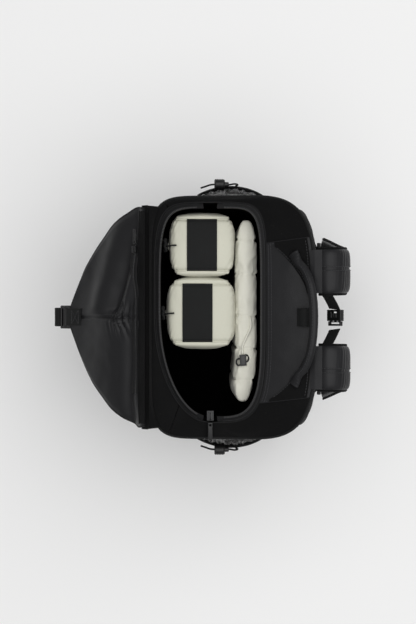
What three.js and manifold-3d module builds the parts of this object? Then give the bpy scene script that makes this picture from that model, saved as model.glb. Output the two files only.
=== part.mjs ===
// A flap-top backpack, standing on its base with the hood thrown open to the front.
//
// Millimetres, +Z up. The origin is the middle of the flat underside of the base; -Y is the front
// (the hood), +Y is the back (the shoulder harness), and the wearer's left-hand side pocket is at -X.
//
// Fabric panels are sheets of constant thickness around a mid-surface given as a formula, sewn
// edges being left SEAM_GAP apart. Hard parts are extrusions, lathed shapes and rounded boxes.
import * as THREE from "three";
import { RoundedBoxGeometry } from "three/addons/geometries/RoundedBoxGeometry.js";
import { mergeVertices } from "three/addons/utils/BufferGeometryUtils.js";
import Module from "manifold-3d";

const wasm = await Module();
wasm.setup();

// ---------------------------------------------------------------- driving dimensions

const SEAM_GAP = 0.4; // between two sewn edges

// Body: a rounded box whose plan is a superellipse, squarer at its front.
const BODY_HALF_WIDTH = 160;
const BODY_CENTRE_Y = -4;
const BODY_HALF_DEPTH = 108;
const BODY_POWER = { front: 7, back: 4 };
const BASE_INSET = 5; // how much narrower the body is at its base than at its rim
const WALL_BULGE = 5;
const WALL_THICKNESS = 3;
const RIM_FRONT_Z = 394;
const RIM_BACK_Z = 424;
const TRAY_HEIGHT = 34;
const TRAY_EDGE_RADIUS = 16;

// Mouth of the main compartment, and the zip tape round it.
// It is square at its -X end and round at its +X front corner.
const MOUTH_CENTRE_X = -5;
const MOUTH_CENTRE_Y = -33;
const MOUTH_HALF_DEPTH = 66;
const MOUTH_REACH = { left: 139, right: 136 };
const MOUTH_POWER = { front: { left: 5, right: 2 }, back: { left: 6, right: 4 } };
const TAPE_WIDTH = 8;
const TAPE_THICKNESS = 1.6;
const TAPE_EDGE_Z = { front: 397, back: 407 };
const COIL_Z = { front: 403, back: 410 };

// Hood: a flat panel hinged along the front rim.
const HINGE_Y = -118;
const HINGE_Z = 410;
const HOOD_SLOPE_DEG = 45;
const HOOD_THICKNESS = 3.2;
const HOOD_OUTLINE = [
  // distance from the hinge, half width
  [4, 143], [22, 145], [41, 137], [62, 125], [82, 108], [102, 89], [124, 62], [145, 28], [152, 14],
];
const STRAP_WIDTH = 26;
const WEBBING_THICKNESS = 1.8;

// Harness.
const HARNESS_SHIFT = 3; // the straps have settled a little towards +X
const SHOULDER_THICKNESS = 12;
const SHOULDER_PATH = [
  // distance from the middle, y, z, half width
  [63, 109.5, 423, 30], [63, 122, 429.5, 30], [63.5, 136, 424, 30], [64, 145, 405, 30],
  [65, 149, 372, 29.5], [69, 149.5, 322, 28.5], [76, 146.5, 262, 27], [86, 139.5, 202, 25],
  [94, 133, 160, 23],
];

// Grab handle.
const HANDLE_RADIUS = 5.8;
const HANDLE_PATH = [
  [-72, 82, 432.5], [-62, 90, 438.5], [-40, 98, 446.5], [2, 101.5, 450.5],
  [44, 97.5, 446.5], [66, 90, 438.5], [76, 82, 432.5],
];

// Contents that belong to the bag: two slim boxes and a quilted sleeve, all standing on the base.
const FLOOR_Z = 4;
const BOXES = [
  { name: "slim_box_1", x: -96.5, y: -44, width: 85, depth: 86, height: 384, band: 40, bandY: 0 },
  { name: "slim_box_2", x: -6, y: -45, width: 94, depth: 90, height: 382, band: 40, bandY: -5 },
];
const SLEEVE_HEIGHT = 378;

// ---------------------------------------------------------------- materials

const finish = (colour, roughness, metalness = 0) =>
  new THREE.MeshStandardMaterial({ color: colour, roughness, metalness });
const MATERIAL = {
  coated: finish(0x2b2b2d, 0.55),
  canvas: finish(0x161616, 0.85),
  mesh: finish(0x0f0f10, 0.8),
  webbing: finish(0x121212, 0.75),
  plastic: finish(0x0d0d0e, 0.45),
  zip: finish(0x1a1a1b, 0.6),
  greige: finish(0xc4c4b5, 0.55),
  ivory: finish(0xd8d6c8, 0.7),
  steel: finish(0x8d8f92, 0.3, 1),
};

// ---------------------------------------------------------------- shared shapes

const group = new THREE.Group();

/** Adds a geometry to the part as a named node. */
function add(name, geometry, material) {
  const mesh = new THREE.Mesh(geometry, material);
  mesh.name = name;
  group.add(mesh);
  return mesh;
}

const lerp = THREE.MathUtils.lerp;
const smooth = THREE.MathUtils.smoothstep;
const radians = THREE.MathUtils.degToRad;
const point = (x, y, z) => new THREE.Vector3(x, y, z);
const signedPower = (value, power) => Math.sign(value) * Math.abs(value) ** power;

/** The straight-line interpolation of a table of rows on its first column. */
function tableAt(table, x) {
  const last = table.length - 1;
  let i = 0;
  while (i < last - 1 && x > table[i + 1][0]) i += 1;
  const [from, to] = [table[i], table[i + 1]];
  const t = THREE.MathUtils.clamp((x - from[0]) / (to[0] - from[0]), 0, 1);
  return from.map((value, k) => lerp(value, to[k], t));
}

/** A closed solid between two matching grids of points, top[i][j] and bottom[i][j]. */
function solidBetween(top, bottom) {
  const nu = top.length;
  const nv = top[0].length;
  const positions = [...top.flat(), ...bottom.flat()].flatMap((p) => [p.x, p.y, p.z]);
  const index = [];
  const at = (side, i, j) => side * nu * nv + i * nv + j;
  const quad = (a, b, c, d) => index.push(a, b, c, a, c, d);
  for (let i = 0; i < nu - 1; i += 1)
    for (let j = 0; j < nv - 1; j += 1) {
      quad(at(0, i, j), at(0, i + 1, j), at(0, i + 1, j + 1), at(0, i, j + 1));
      quad(at(1, i, j), at(1, i, j + 1), at(1, i + 1, j + 1), at(1, i + 1, j));
    }
  for (let i = 0; i < nu - 1; i += 1) {
    quad(at(0, i, 0), at(1, i, 0), at(1, i + 1, 0), at(0, i + 1, 0));
    quad(at(0, i, nv - 1), at(0, i + 1, nv - 1), at(1, i + 1, nv - 1), at(1, i, nv - 1));
  }
  for (let j = 0; j < nv - 1; j += 1) {
    quad(at(0, 0, j), at(0, 0, j + 1), at(1, 0, j + 1), at(1, 0, j));
    quad(at(0, nu - 1, j), at(1, nu - 1, j), at(1, nu - 1, j + 1), at(0, nu - 1, j + 1));
  }
  const geometry = new THREE.BufferGeometry();
  geometry.setAttribute("position", new THREE.Float32BufferAttribute(positions, 3));
  geometry.setIndex(index);
  return facingOut(geometry);
}

/** Turns a closed indexed geometry's faces outwards if its signed volume is negative. */
function facingOut(geometry) {
  const p = geometry.attributes.position;
  const index = geometry.index.array;
  const [a, b, c] = [point(), point(), point()];
  let volume = 0;
  for (let i = 0; i < index.length; i += 3) {
    a.fromBufferAttribute(p, index[i]);
    b.fromBufferAttribute(p, index[i + 1]);
    c.fromBufferAttribute(p, index[i + 2]);
    volume += a.dot(b.cross(c));
  }
  if (volume < 0) {
    for (let i = 0; i < index.length; i += 3) {
      [index[i + 1], index[i + 2]] = [index[i + 2], index[i + 1]];
    }
  }
  return geometry;
}

/** A sheet of fabric: the surface at(u, v), for u and v from 0 to 1, thickened to both sides. */
function sheet(at, nu, nv, thickness) {
  const step = 1e-3;
  const top = [];
  const bottom = [];
  for (let i = 0; i <= nu; i += 1) {
    top.push([]);
    bottom.push([]);
    for (let j = 0; j <= nv; j += 1) {
      const [u, v] = [i / nu, j / nv];
      const along = at(Math.min(u + step, 1), v).sub(at(Math.max(u - step, 0), v));
      const across = at(u, Math.min(v + step, 1)).sub(at(u, Math.max(v - step, 0)));
      const normal = along.cross(across).setLength(thickness / 2);
      top[i].push(at(u, v).add(normal));
      bottom[i].push(at(u, v).sub(normal));
    }
  }
  return solidBetween(top, bottom);
}

/** Webbing: a flat band along a smooth curve, its width lying along widthAt(t). */
function band(points, width, thickness, steps, widthAt) {
  const curve = new THREE.CatmullRomCurve3(points.map((p) => point(...p)));
  return sheet(
    (u, v) => curve.getPoint(u).addScaledVector(widthAt(u), (v - 0.5) * width),
    steps,
    2,
    thickness,
  );
}

/** A round cord or tube along a smooth curve. */
function tube(points, radius, sides, steps, closed = false) {
  const section = new THREE.Shape();
  for (let i = 0; i < sides; i += 1) {
    const angle = (i / sides) * 2 * Math.PI;
    const corner = [radius * Math.cos(angle), radius * Math.sin(angle)];
    if (i) section.lineTo(...corner);
    else section.moveTo(...corner);
  }
  section.closePath();
  const path = new THREE.CatmullRomCurve3(points.map((p) => point(...p)), closed);
  return bare(new THREE.ExtrudeGeometry(section, { steps, extrudePath: path, bevelEnabled: false }));
}

/** A geometry with only its positions, its shared vertices merged. */
function bare(geometry) {
  const plain = geometry.index ? geometry.toNonIndexed() : geometry.clone();
  plain.deleteAttribute("normal");
  plain.deleteAttribute("uv");
  return facingOut(mergeVertices(plain, 1e-3));
}

/** A rounded box of the given size with its middle at (x, y, z). */
function block(width, depth, height, radius, x, y, z) {
  return bare(new RoundedBoxGeometry(width, depth, height, 1, radius)).translate(x, y, z);
}

const solidOf = (geometry) =>
  new wasm.Manifold(
    new wasm.Mesh({
      numProp: 3,
      vertProperties: new Float32Array(geometry.attributes.position.array),
      triVerts: new Uint32Array(geometry.index.array),
    }),
  );

/** A manifold solid as a geometry. */
function geometryOf(solid) {
  const mesh = solid.getMesh();
  const geometry = new THREE.BufferGeometry();
  geometry.setAttribute("position", new THREE.Float32BufferAttribute(mesh.vertProperties, 3));
  geometry.setIndex([...mesh.triVerts]);
  return geometry;
}

/** Overlapping geometries joined into one body. */
const join = (first, ...others) =>
  geometryOf(others.reduce((whole, other) => whole.add(solidOf(other)), solidOf(first)));

/** A body less each of the tools. */
const cut = (body, ...tools) =>
  geometryOf(tools.reduce((left, tool) => left.subtract(solidOf(tool)), solidOf(body)));

/** A flat outline, extruded by depth along +Z and centred on it. */
function plate(outline, depth, holes = []) {
  const shape = new THREE.Shape(outline.map(([x, y]) => new THREE.Vector2(x, y)));
  shape.holes = holes.map((hole) => new THREE.Path(hole.map(([x, y]) => new THREE.Vector2(x, y))));
  return bare(new THREE.ExtrudeGeometry(shape, { depth, bevelEnabled: false })).translate(0, 0, -depth / 2);
}

/** The corners of a rectangle with its corners cut off, counter-clockwise. */
function chamfered(width, height, chamfer) {
  const [x, y, c] = [width / 2, height / 2, chamfer];
  return [
    [c - x, -y], [x - c, -y], [x, c - y], [x, y - c],
    [x - c, y], [c - x, y], [-x, y - c], [-x, c - y],
  ];
}

// ---------------------------------------------------------------- body outlines

/** A point on the body's plan at an angle (0 is +X, 90 the back) and a height, inset by a distance. */
function bodyPoint(degrees, z, inset = 0) {
  const angle = radians(degrees);
  const share = Math.min(z / RIM_FRONT_Z, 1);
  const bulge = WALL_BULGE * Math.sin(Math.PI * share);
  const narrowing = BASE_INSET * (1 - share) - bulge + inset;
  const half = Math.sin(angle) > 0 ? "back" : "front";
  const depth = BODY_HALF_DEPTH - (half === "back" ? inset : narrowing);
  return point(
    (BODY_HALF_WIDTH - narrowing) * signedPower(Math.cos(angle), 2 / BODY_POWER[half]),
    BODY_CENTRE_Y + depth * signedPower(Math.sin(angle), 2 / BODY_POWER[half]),
    z,
  );
}

/** The height of the walls' upper edge at a depth y. */
const rimHeight = (y) => lerp(RIM_FRONT_Z, RIM_BACK_Z, smooth(y, -40, BODY_CENTRE_Y + BODY_HALF_DEPTH));

/** The mouth's edge in a direction from its middle, moved out; z.front and z.back are its heights. */
function mouthTowards(across, along, out, z) {
  const side = across < 0 ? "left" : "right";
  const power = MOUTH_POWER[along < 0 ? "front" : "back"][side];
  const size = (Math.abs(across) ** power + Math.abs(along) ** power) ** (1 / power);
  const x = MOUTH_CENTRE_X + ((MOUTH_REACH[side] + out) * across) / size;
  const y = MOUTH_CENTRE_Y + ((MOUTH_HALF_DEPTH + out) * along) / size;
  return point(x, y, lerp(z.front, z.back, smooth(y, -90, 40)));
}

/** A point on the mouth's plan at an angle in degrees. */
function mouthPoint(degrees, out, z) {
  const angle = radians(degrees);
  return mouthTowards(signedPower(Math.cos(angle), 0.5), signedPower(Math.sin(angle), 0.5), out, z);
}

/** The mouth's edge nearest to a point of the body's edge. */
function mouthFacing(outer, out, z) {
  const reach = MOUTH_REACH[outer.x < MOUTH_CENTRE_X ? "left" : "right"] + out;
  const across = (outer.x - MOUTH_CENTRE_X) / reach;
  const along = (outer.y - MOUTH_CENTRE_Y) / (MOUTH_HALF_DEPTH + out);
  return mouthTowards(across, along, out, z);
}

// ---------------------------------------------------------------- casing

/** The base: a shallow tray with a flat underside and a rounded edge. */
function baseTray() {
  const profile = [
    // inset from the wall, height: outside from the middle to the rim, then inside and back
    ...[0, 1, 2, 3, 4].map((k) => {
      const angle = (k / 4) * (Math.PI / 2);
      return [TRAY_EDGE_RADIUS * (1 - Math.sin(angle)), TRAY_EDGE_RADIUS * (1 - Math.cos(angle))];
    }),
    [0, TRAY_HEIGHT],
    [WALL_THICKNESS, TRAY_HEIGHT],
    [WALL_THICKNESS, TRAY_EDGE_RADIUS],
    [TRAY_EDGE_RADIUS * 0.4, 6],
    [TRAY_EDGE_RADIUS, WALL_THICKNESS],
  ];
  const around = 40;
  const positions = [];
  const index = [];
  for (let i = 0; i < around; i += 1)
    for (const [inset, z] of profile) {
      const at = bodyPoint((i / around) * 360, TRAY_HEIGHT, inset);
      positions.push(at.x, at.y, z);
    }
  positions.push(0, BODY_CENTRE_Y, 0, 0, BODY_CENTRE_Y, WALL_THICKNESS);
  const under = positions.length / 3 - 2;
  const count = profile.length;
  for (let i = 0; i < around; i += 1) {
    const [a, b] = [i * count, ((i + 1) % around) * count];
    for (let k = 0; k < count - 1; k += 1) {
      index.push(a + k, b + k, b + k + 1, a + k, b + k + 1, a + k + 1);
    }
    index.push(under, b, a, under + 1, a + count - 1, b + count - 1);
  }
  const geometry = new THREE.BufferGeometry();
  geometry.setAttribute("position", new THREE.Float32BufferAttribute(positions, 3));
  geometry.setIndex(index);
  return facingOut(geometry);
}

/** A wall of the body between two angles. */
function wall(fromDegrees, toDegrees, columns) {
  const lowest = TRAY_HEIGHT + SEAM_GAP;
  return sheet(
    (u, v) => {
      const degrees = lerp(fromDegrees, toDegrees, u);
      const top = rimHeight(bodyPoint(degrees, RIM_FRONT_Z).y);
      return bodyPoint(degrees, lerp(lowest, top, v), WALL_THICKNESS / 2);
    },
    columns,
    5,
    WALL_THICKNESS,
  );
}

/** The angle on the body's squarer front half that steps along it as evenly as round a rounder shape. */
function evenStep(degrees) {
  const angle = radians(degrees);
  const squarer = BODY_POWER.front / 4;
  return THREE.MathUtils.radToDeg(
    Math.atan2(signedPower(Math.sin(angle), squarer), signedPower(Math.cos(angle), squarer)),
  );
}

/**
 * A panel of the top deck, between the walls' upper edge and the zip tape.
 * Its ends are angles: [at the wall, at the tape], or at the wall alone, in even steps,
 * with the tape's nearest point.
 */
function deck(from, to, columns, crown = 2) {
  const lift = WALL_THICKNESS / 2 + 2 * SEAM_GAP;
  const tapeOut = TAPE_WIDTH + 2.6;
  return sheet(
    (u, v) => {
      const paired = from.length > 1;
      const degrees = lerp(from[0], to[0], u);
      const outer = bodyPoint(paired ? degrees : evenStep(degrees), RIM_FRONT_Z, WALL_THICKNESS / 2);
      outer.z = rimHeight(outer.y) + lift;
      const inner = paired
        ? mouthPoint(lerp(from[1], to[1], u), tapeOut, TAPE_EDGE_Z)
        : mouthFacing(outer, tapeOut, TAPE_EDGE_Z);
      const at = outer.lerp(inner, v);
      at.z += crown * Math.sin(Math.PI * v);
      return at;
    },
    columns,
    3,
    WALL_THICKNESS,
  );
}

/** Half of the mouth's zip tape. */
function mouthTape(fromDegrees, toDegrees) {
  return sheet(
    (u, v) => {
      const degrees = lerp(fromDegrees, toDegrees, u);
      return mouthPoint(degrees, TAPE_WIDTH, TAPE_EDGE_Z).lerp(mouthPoint(degrees, 0, COIL_Z), v);
    },
    32,
    1,
    TAPE_THICKNESS,
  );
}

const YOKE = { left: [116, 112], right: [64, 48] };
const GUSSET_FRONT = { left: [210, 210.8], right: [-25, -22.6] };

add("base_tray", baseTray(), MATERIAL.canvas);
add("front_wall", wall(218.2, 321.8, 16), MATERIAL.coated);
add("side_wall_left", wall(142.2, 217.8, 12), MATERIAL.coated);
add("side_wall_right", wall(-37.8, 37.8, 12), MATERIAL.coated);
add("back_wall", wall(38.2, 141.8, 16), MATERIAL.canvas);
add("yoke_panel", deck(YOKE.right.map((a) => a + 0.2), YOKE.left.map((a) => a - 0.2), 12), MATERIAL.coated);
add("gusset_left", deck(YOKE.left, GUSSET_FRONT.left, 14), MATERIAL.canvas);
add("gusset_right", deck(GUSSET_FRONT.right, YOKE.right, 14), MATERIAL.canvas);
add("front_rim_panel", deck([216.8], [326.6], 40, 0.5), MATERIAL.canvas);
add("zip_tape_front", mouthTape(181, 359), MATERIAL.zip);
add("zip_tape_back", mouthTape(1, 179), MATERIAL.zip);

/** An air-mesh back pad, wrapped round one back corner. */
function backPad(fromDegrees, toDegrees) {
  const thickness = 7;
  return sheet(
    (u, v) => bodyPoint(lerp(fromDegrees, toDegrees, u), lerp(52, 402, v), -thickness / 2 - 0.5),
    10,
    4,
    thickness,
  );
}
add("back_pad_right", backPad(38, 86.5), MATERIAL.mesh);
add("back_pad_left", backPad(93.5, 142), MATERIAL.mesh);

// ---------------------------------------------------------------- side pockets

const POCKET = { y0: -60, y1: 52, z0: 44, z1: 232, bulge: 20 };

/** How far a side wall stands from the middle at a depth y and a height z. */
function wallReach(y, z) {
  const level = bodyPoint(0, z).x;
  const share = Math.min(Math.abs((y - BODY_CENTRE_Y) / BODY_HALF_DEPTH), 1);
  const power = BODY_POWER[y > BODY_CENTRE_Y ? "back" : "front"];
  return level * (1 - share ** power) ** (1 / power);
}

/** A point on a side pocket: u runs along the bag, v up to the rim. side is -1 or 1. */
function pocketPoint(side, u, v, out = 0) {
  const y = lerp(POCKET.y0, POCKET.y1, u);
  const z = lerp(POCKET.z0, POCKET.z1, v);
  const bulge = POCKET.bulge * Math.sqrt(v) * Math.sin(Math.PI * u) ** 0.7;
  return point(side * (wallReach(y, z) + 1.4 + bulge + out), y, z);
}

const LOCK_Y = -19;
const toVector = ([x, y]) => new THREE.Vector2(x, y);
for (const [label, side] of [["left", -1], ["right", 1]]) {
  add(`pocket_${label}`, sheet((u, v) => pocketPoint(side, u, v), 14, 5, 1.6), MATERIAL.mesh);

  const cord = [];
  for (let i = 1; i <= 11; i += 1) {
    const at = pocketPoint(side, i / 12, 1, 0.4);
    cord.push([at.x, at.y, POCKET.z1 + 3.2]);
  }
  add(`pocket_bungee_${label}`, tube(cord, 1.8, 6, 24), MATERIAL.webbing);

  // Cord lock: a barrel clamped on the bungee, with a sprung button at its end.
  const u = (LOCK_Y - POCKET.y0) / (POCKET.y1 - POCKET.y0);
  const rim = pocketPoint(side, u, 1, 0.4);
  const centre = [rim.x + side * 4, LOCK_Y, POCKET.z1 + 13];
  const barrel = new THREE.LatheGeometry(
    [[4.2, 0], [7, 0], [8, 1.5], [8, 13], [6.5, 15], [4.2, 15], [4.2, 0]].map(toVector),
    16,
  );
  const button = new THREE.LatheGeometry(
    [[0, 9.5], [3.8, 9.5], [3.8, 19], [2.8, 20.5], [0, 20.5]].map(toVector),
    14,
  );
  const placed = (geometry) => bare(geometry).translate(centre[0], centre[1] - 8, centre[2]);
  add(`cord_lock_body_${label}`, placed(barrel), MATERIAL.plastic);
  add(`cord_lock_button_${label}`, placed(button), MATERIAL.plastic);
}

// ---------------------------------------------------------------- hood

/** A point on the hood: x along the hinge, s down the panel, lift out of its outer face. */
function hoodPoint(x, s, lift = 0) {
  const slope = radians(HOOD_SLOPE_DEG);
  return point(
    x,
    HINGE_Y - s * Math.cos(slope) - lift * Math.sin(slope),
    HINGE_Z - s * Math.sin(slope) + lift * Math.cos(slope),
  );
}

const hoodCurve = new THREE.CatmullRomCurve3(HOOD_OUTLINE.map(([s, half]) => point(half, s, 0)));
const hoodLength = HOOD_OUTLINE.at(-1)[0];

/** Half of the hood, from its middle seam to its edge. side is -1 or 1. */
function hoodHalf(side) {
  return sheet(
    (u, v) => {
      const edge = hoodCurve.getPoint(v);
      return hoodPoint(side * lerp(SEAM_GAP / 2, edge.x, u), edge.y);
    },
    6,
    16,
    HOOD_THICKNESS,
  );
}
add("hood_half_left", hoodHalf(-1), MATERIAL.coated);
add("hood_half_right", hoodHalf(1), MATERIAL.coated);

/** The strip that joins the hood to the front wall: it leaves the wall and rises to the hinge line. */
const rootStrip = sheet(
  (u, v) => {
    const degrees = lerp(224, 316, u);
    const foot = bodyPoint(degrees, 372, -1.2);
    const head = point(foot.x, HINGE_Y + 1.5, HINGE_Z - 2.5);
    return foot.lerp(head, v);
  },
  16,
  2,
  1.6,
);
add("hood_root_strip", rootStrip, MATERIAL.canvas);

// Zipped pocket across the hood, near the hinge.
const HOOD_ZIP = { s: 17, half: 102, tape: 13 };
const ZIP_LIFT = HOOD_THICKNESS / 2 + 0.3;
add(
  "hood_zip_tape",
  sheet(
    (u, v) => {
      const x = lerp(-HOOD_ZIP.half, HOOD_ZIP.half, u);
      return hoodPoint(x, HOOD_ZIP.s + (v - 0.5) * HOOD_ZIP.tape, ZIP_LIFT + 0.5);
    },
    4,
    1,
    1,
  ),
  MATERIAL.zip,
);
const hoodFrame = new THREE.Matrix4().makeRotationX(radians(HOOD_SLOPE_DEG));
const onHood = (geometry, x, s, lift) => {
  const at = hoodPoint(x, s, lift);
  return geometry.applyMatrix4(hoodFrame).translate(at.x, at.y, at.z);
};
const hoodSlider = block(9, 7, 3, 1, 0, 0, 0);
add("hood_slider", onHood(hoodSlider, -90, HOOD_ZIP.s, ZIP_LIFT + 3.1), MATERIAL.steel);
const hoodPull = block(20, 5, 1.6, 0.7, 0, 0, 0);
add("hood_zip_pull", onHood(hoodPull, -107, HOOD_ZIP.s, ZIP_LIFT + 3.3), MATERIAL.webbing);

// Tip: a webbing tab, a ladder-lock and the closing strap, which hangs from it and ends in a hook.
const TIP = { tabFrom: 146, lockAt: 163, strapY: -241.9, strapTop: 284.4, strapEnd: 178 };
const tipTab = block(STRAP_WIDTH - 2, 12, 1.4, 0.6, 0, 0, 0);
add("tip_tab", onHood(tipTab, 0, TIP.tabFrom + 3.5, 3.4), MATERIAL.webbing);
const ladder = plate(chamfered(32, 19, 3), 4.5, [
  chamfered(STRAP_WIDTH - 1, 4, 1).map(([x, y]) => [x, y - 5.2]).reverse(),
  chamfered(STRAP_WIDTH - 1, 5, 1).map(([x, y]) => [x, y + 3.6]).reverse(),
]);
add("tip_ladder_lock", onHood(ladder, 0, TIP.lockAt, 0), MATERIAL.plastic);

const acrossX = () => point(1, 0, 0);
add(
  "closing_strap",
  band(
    [TIP.strapTop, 250, 214, TIP.strapEnd].map((z) => [0, TIP.strapY, z]),
    STRAP_WIDTH, WEBBING_THICKNESS, 12, acrossX,
  ),
  MATERIAL.webbing,
);
const hookSlot = chamfered(24, 5, 1).map(([x, y]) => [x, y + 7]).reverse();
const hookPlate = plate(chamfered(30, 26, 3), 3.4, [hookSlot]);
const hookMouth = block(20, 6, 6, 1, -6, -4, 0);
const hook = cut(hookPlate, hookMouth).rotateX(Math.PI / 2).translate(0, TIP.strapY, TIP.strapEnd - 13.6);
add("closing_hook", hook, MATERIAL.plastic);

// ---------------------------------------------------------------- grab handle

add("grab_handle", tube(HANDLE_PATH, HANDLE_RADIUS, 10, 26), MATERIAL.coated);

/** A point on the deck's upper face, found from its wall and tape angles. */
function deckTop(wallDegrees, tapeDegrees, v, lift) {
  const outer = bodyPoint(wallDegrees, RIM_FRONT_Z, WALL_THICKNESS / 2);
  outer.z = rimHeight(outer.y);
  const at = outer.lerp(mouthPoint(tapeDegrees, TAPE_WIDTH, TAPE_EDGE_Z), v);
  at.z += WALL_THICKNESS + SEAM_GAP + 2 * Math.sin(Math.PI * v) + lift;
  return at;
}
for (const [label, angles, sign] of [["left", YOKE.left, 1], ["right", YOKE.right, -1]]) {
  const turned = (at, u, v) => at - 25 * sign * (1 - v * 0.9) * u;
  add(
    `handle_patch_${label}`,
    sheet(
      (u, v) => deckTop(turned(angles[0], u, v), turned(angles[1], u, v), lerp(0.06, 0.8, v), 1.3),
      5, 5, 1.2,
    ),
    MATERIAL.canvas,
  );
}
const keeper = band(
  [[0, 81.5, 424.2], [0, 84.5, 431], [0, 90, 434.5], [0, 95.5, 433.5], [0, 99.5, 428.8]],
  24, 1.4, 10, acrossX,
);
add("hook_keeper", keeper, MATERIAL.webbing);

// ---------------------------------------------------------------- harness

for (const [label, side] of [["left", -1], ["right", 1]]) {
  const middles = SHOULDER_PATH.map(([x, y, z]) => point(HARNESS_SHIFT + side * x, y, z));
  const path = new THREE.CatmullRomCurve3(middles);
  const widths = new THREE.CatmullRomCurve3(SHOULDER_PATH.map(([, , , half], k) => point(half, k, 0)));
  const strapPoint = (t, across, out = 0) => {
    const at = path.getPoint(t);
    const along = path.getTangent(t);
    const outward = point(0, -along.z, along.y).normalize();
    return at.add(point(across, 0, 0)).addScaledVector(outward, out);
  };
  add(
    `shoulder_strap_${label}`,
    sheet((u, v) => strapPoint(u, widths.getPoint(u).x * (2 * v - 1)), 20, 4, SHOULDER_THICKNESS),
    MATERIAL.coated,
  );

  const lock = plate(chamfered(34, 24, 3), 5, [
    chamfered(26, 5, 1).map(([x, y]) => [x, y - 5]).reverse(),
    chamfered(26, 5, 1).map(([x, y]) => [x, y + 5]).reverse(),
  ]);
  lock.rotateX(radians(104)).translate(HARNESS_SHIFT + side * 94.5, 129, 143.5);
  add(`strap_ladder_lock_${label}`, lock, MATERIAL.plastic);
  add(
    `lower_webbing_${label}`,
    band(
      [
        [HARNESS_SHIFT + side * 96, 124.5, 128],
        [side * 106, 121, 104],
        [side * 119, 115.5, 76],
        [side * 128, 111, 52],
      ],
      24, WEBBING_THICKNESS, 8, () => point(0.9, side * -0.25, side * 0.34).normalize(),
    ),
    MATERIAL.webbing,
  );
  const corners = [[-17, -15], [17, -15], [17, -4], [4, 15], [-12, 15]].map(([x, y]) => [side * x, y]);
  const tab = plate(side > 0 ? corners : corners.reverse(), 2.4);
  tab.rotateX(Math.PI / 2).rotateZ(side * radians(-28)).translate(side * 130, 108.5, 33);
  add(`anchor_tab_${label}`, tab, MATERIAL.canvas);
}

// Chest strap: webbing from each shoulder strap to a buckle in the middle, hanging slack.
const tilt = point(0, 0.7, 0.72).normalize();
add(
  "chest_webbing_left",
  band([[-34, 118, 411], [-29, 122, 405], [-20, 128, 396], [-11, 133, 388]], 18, 1.5, 8, () => tilt),
  MATERIAL.webbing,
);
add(
  "chest_webbing_right",
  band([[16.5, 133, 388], [26, 128, 396], [36, 122, 405], [42, 118, 411]], 18, 1.5, 8, () => tilt),
  MATERIAL.webbing,
);
const buckleTurn = (geometry) => geometry.rotateX(radians(46));
const female = cut(block(15, 24, 7, 1.5, 0, 0, 0), block(13, 19, 3.8, 0.5, 3, 0, 0));
add("chest_buckle_female", buckleTurn(female).translate(-2.5, 134, 386), MATERIAL.plastic);
const male = join(
  block(6, 22, 5.5, 1, 11, 0, 0),
  ...[-7.4, 0, 7.4].map((y) => block(12, 2.6, 2.6, 0.5, 3.2, y, 0)),
);
add("chest_buckle_male", buckleTurn(male).translate(-2.5, 134, 386), MATERIAL.plastic);

// ---------------------------------------------------------------- main zip slider

const slider = { x: MOUTH_CENTRE_X + MOUTH_REACH.right - 1, y: MOUTH_CENTRE_Y, z: 409.8 };
add("main_slider", block(13, 9, 4, 1.4, slider.x, slider.y, slider.z), MATERIAL.steel);
const mainPull = block(24, 6, 2, 0.8, 12, 0, 0).rotateY(radians(14));
add("main_zip_pull", mainPull.translate(slider.x + 9.2, slider.y, slider.z), MATERIAL.webbing);

// ---------------------------------------------------------------- inserts

for (const box of BOXES) {
  const z = FLOOR_Z + box.height / 2;
  const top = FLOOR_Z + box.height;
  const front = box.y - box.depth / 2;
  add(`${box.name}_body`, block(box.width, box.depth, box.height, 15, box.x, box.y, z), MATERIAL.greige);
  add(
    `${box.name}_handle_band`,
    block(box.width - 22, box.band, 1.8, 0.6, box.x, box.y + box.bandY, top + 1.3),
    MATERIAL.webbing,
  );
  add(`${box.name}_zip`, block(9, 1.6, box.height - 60, 0.6, box.x, front - 1.1, z), MATERIAL.greige);
  const slide = join(
    block(8, 2.6, 10, 0.9, box.x, front - 3.7, top - 40),
    tube(
      [[box.x, front - 4, top - 37], [box.x, front - 4.4, top - 26], [box.x + 2, front - 3, top - 12]],
      1.3,
      6,
      8,
    ),
  );
  add(`${box.name}_slider`, slide, MATERIAL.plastic);
}

/** The quilted sleeve's plan: thick in its middle, rounded and turned forwards at its ends. */
function sleevePlan() {
  const outline = [];
  const [from, to] = [-132, 116];
  const middleY = (x) => 15 - 9 * smooth(x, 50, to);
  const half = (x) => {
    const share = Math.abs((2 * (x - from)) / (to - from) - 1);
    return 12 * Math.sqrt(Math.max(1 - share ** 6, 0)) + 0.6;
  };
  const steps = 16;
  for (let i = 0; i <= steps; i += 1) {
    const x = lerp(from, to, 0.5 - 0.5 * Math.cos((Math.PI * i) / steps));
    outline.push([x, middleY(x) - half(x)]);
  }
  for (let i = steps; i >= 0; i -= 1) {
    const x = lerp(from, to, 0.5 - 0.5 * Math.cos((Math.PI * i) / steps));
    outline.push([x, middleY(x) + half(x)]);
  }
  return outline;
}
const sleeve = plate(sleevePlan(), SLEEVE_HEIGHT).translate(0, 0, FLOOR_Z + SLEEVE_HEIGHT / 2);
add("sleeve_body", sleeve, MATERIAL.ivory);
const sleeveTop = FLOOR_Z + SLEEVE_HEIGHT;
add(
  "sleeve_cord",
  tube(
    [[0, 20], [12, 21], [26, 16], [38, 10], [48, 10]].map(([x, y]) => [x, y, sleeveTop + (x ? 2.2 : 2)]),
    1.6,
    6,
    16,
  ),
  MATERIAL.ivory,
);
add("sleeve_cord_end", block(16, 9, 5, 1.6, 58, 11.5, sleeveTop + 3), MATERIAL.plastic);

export default group;
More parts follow.
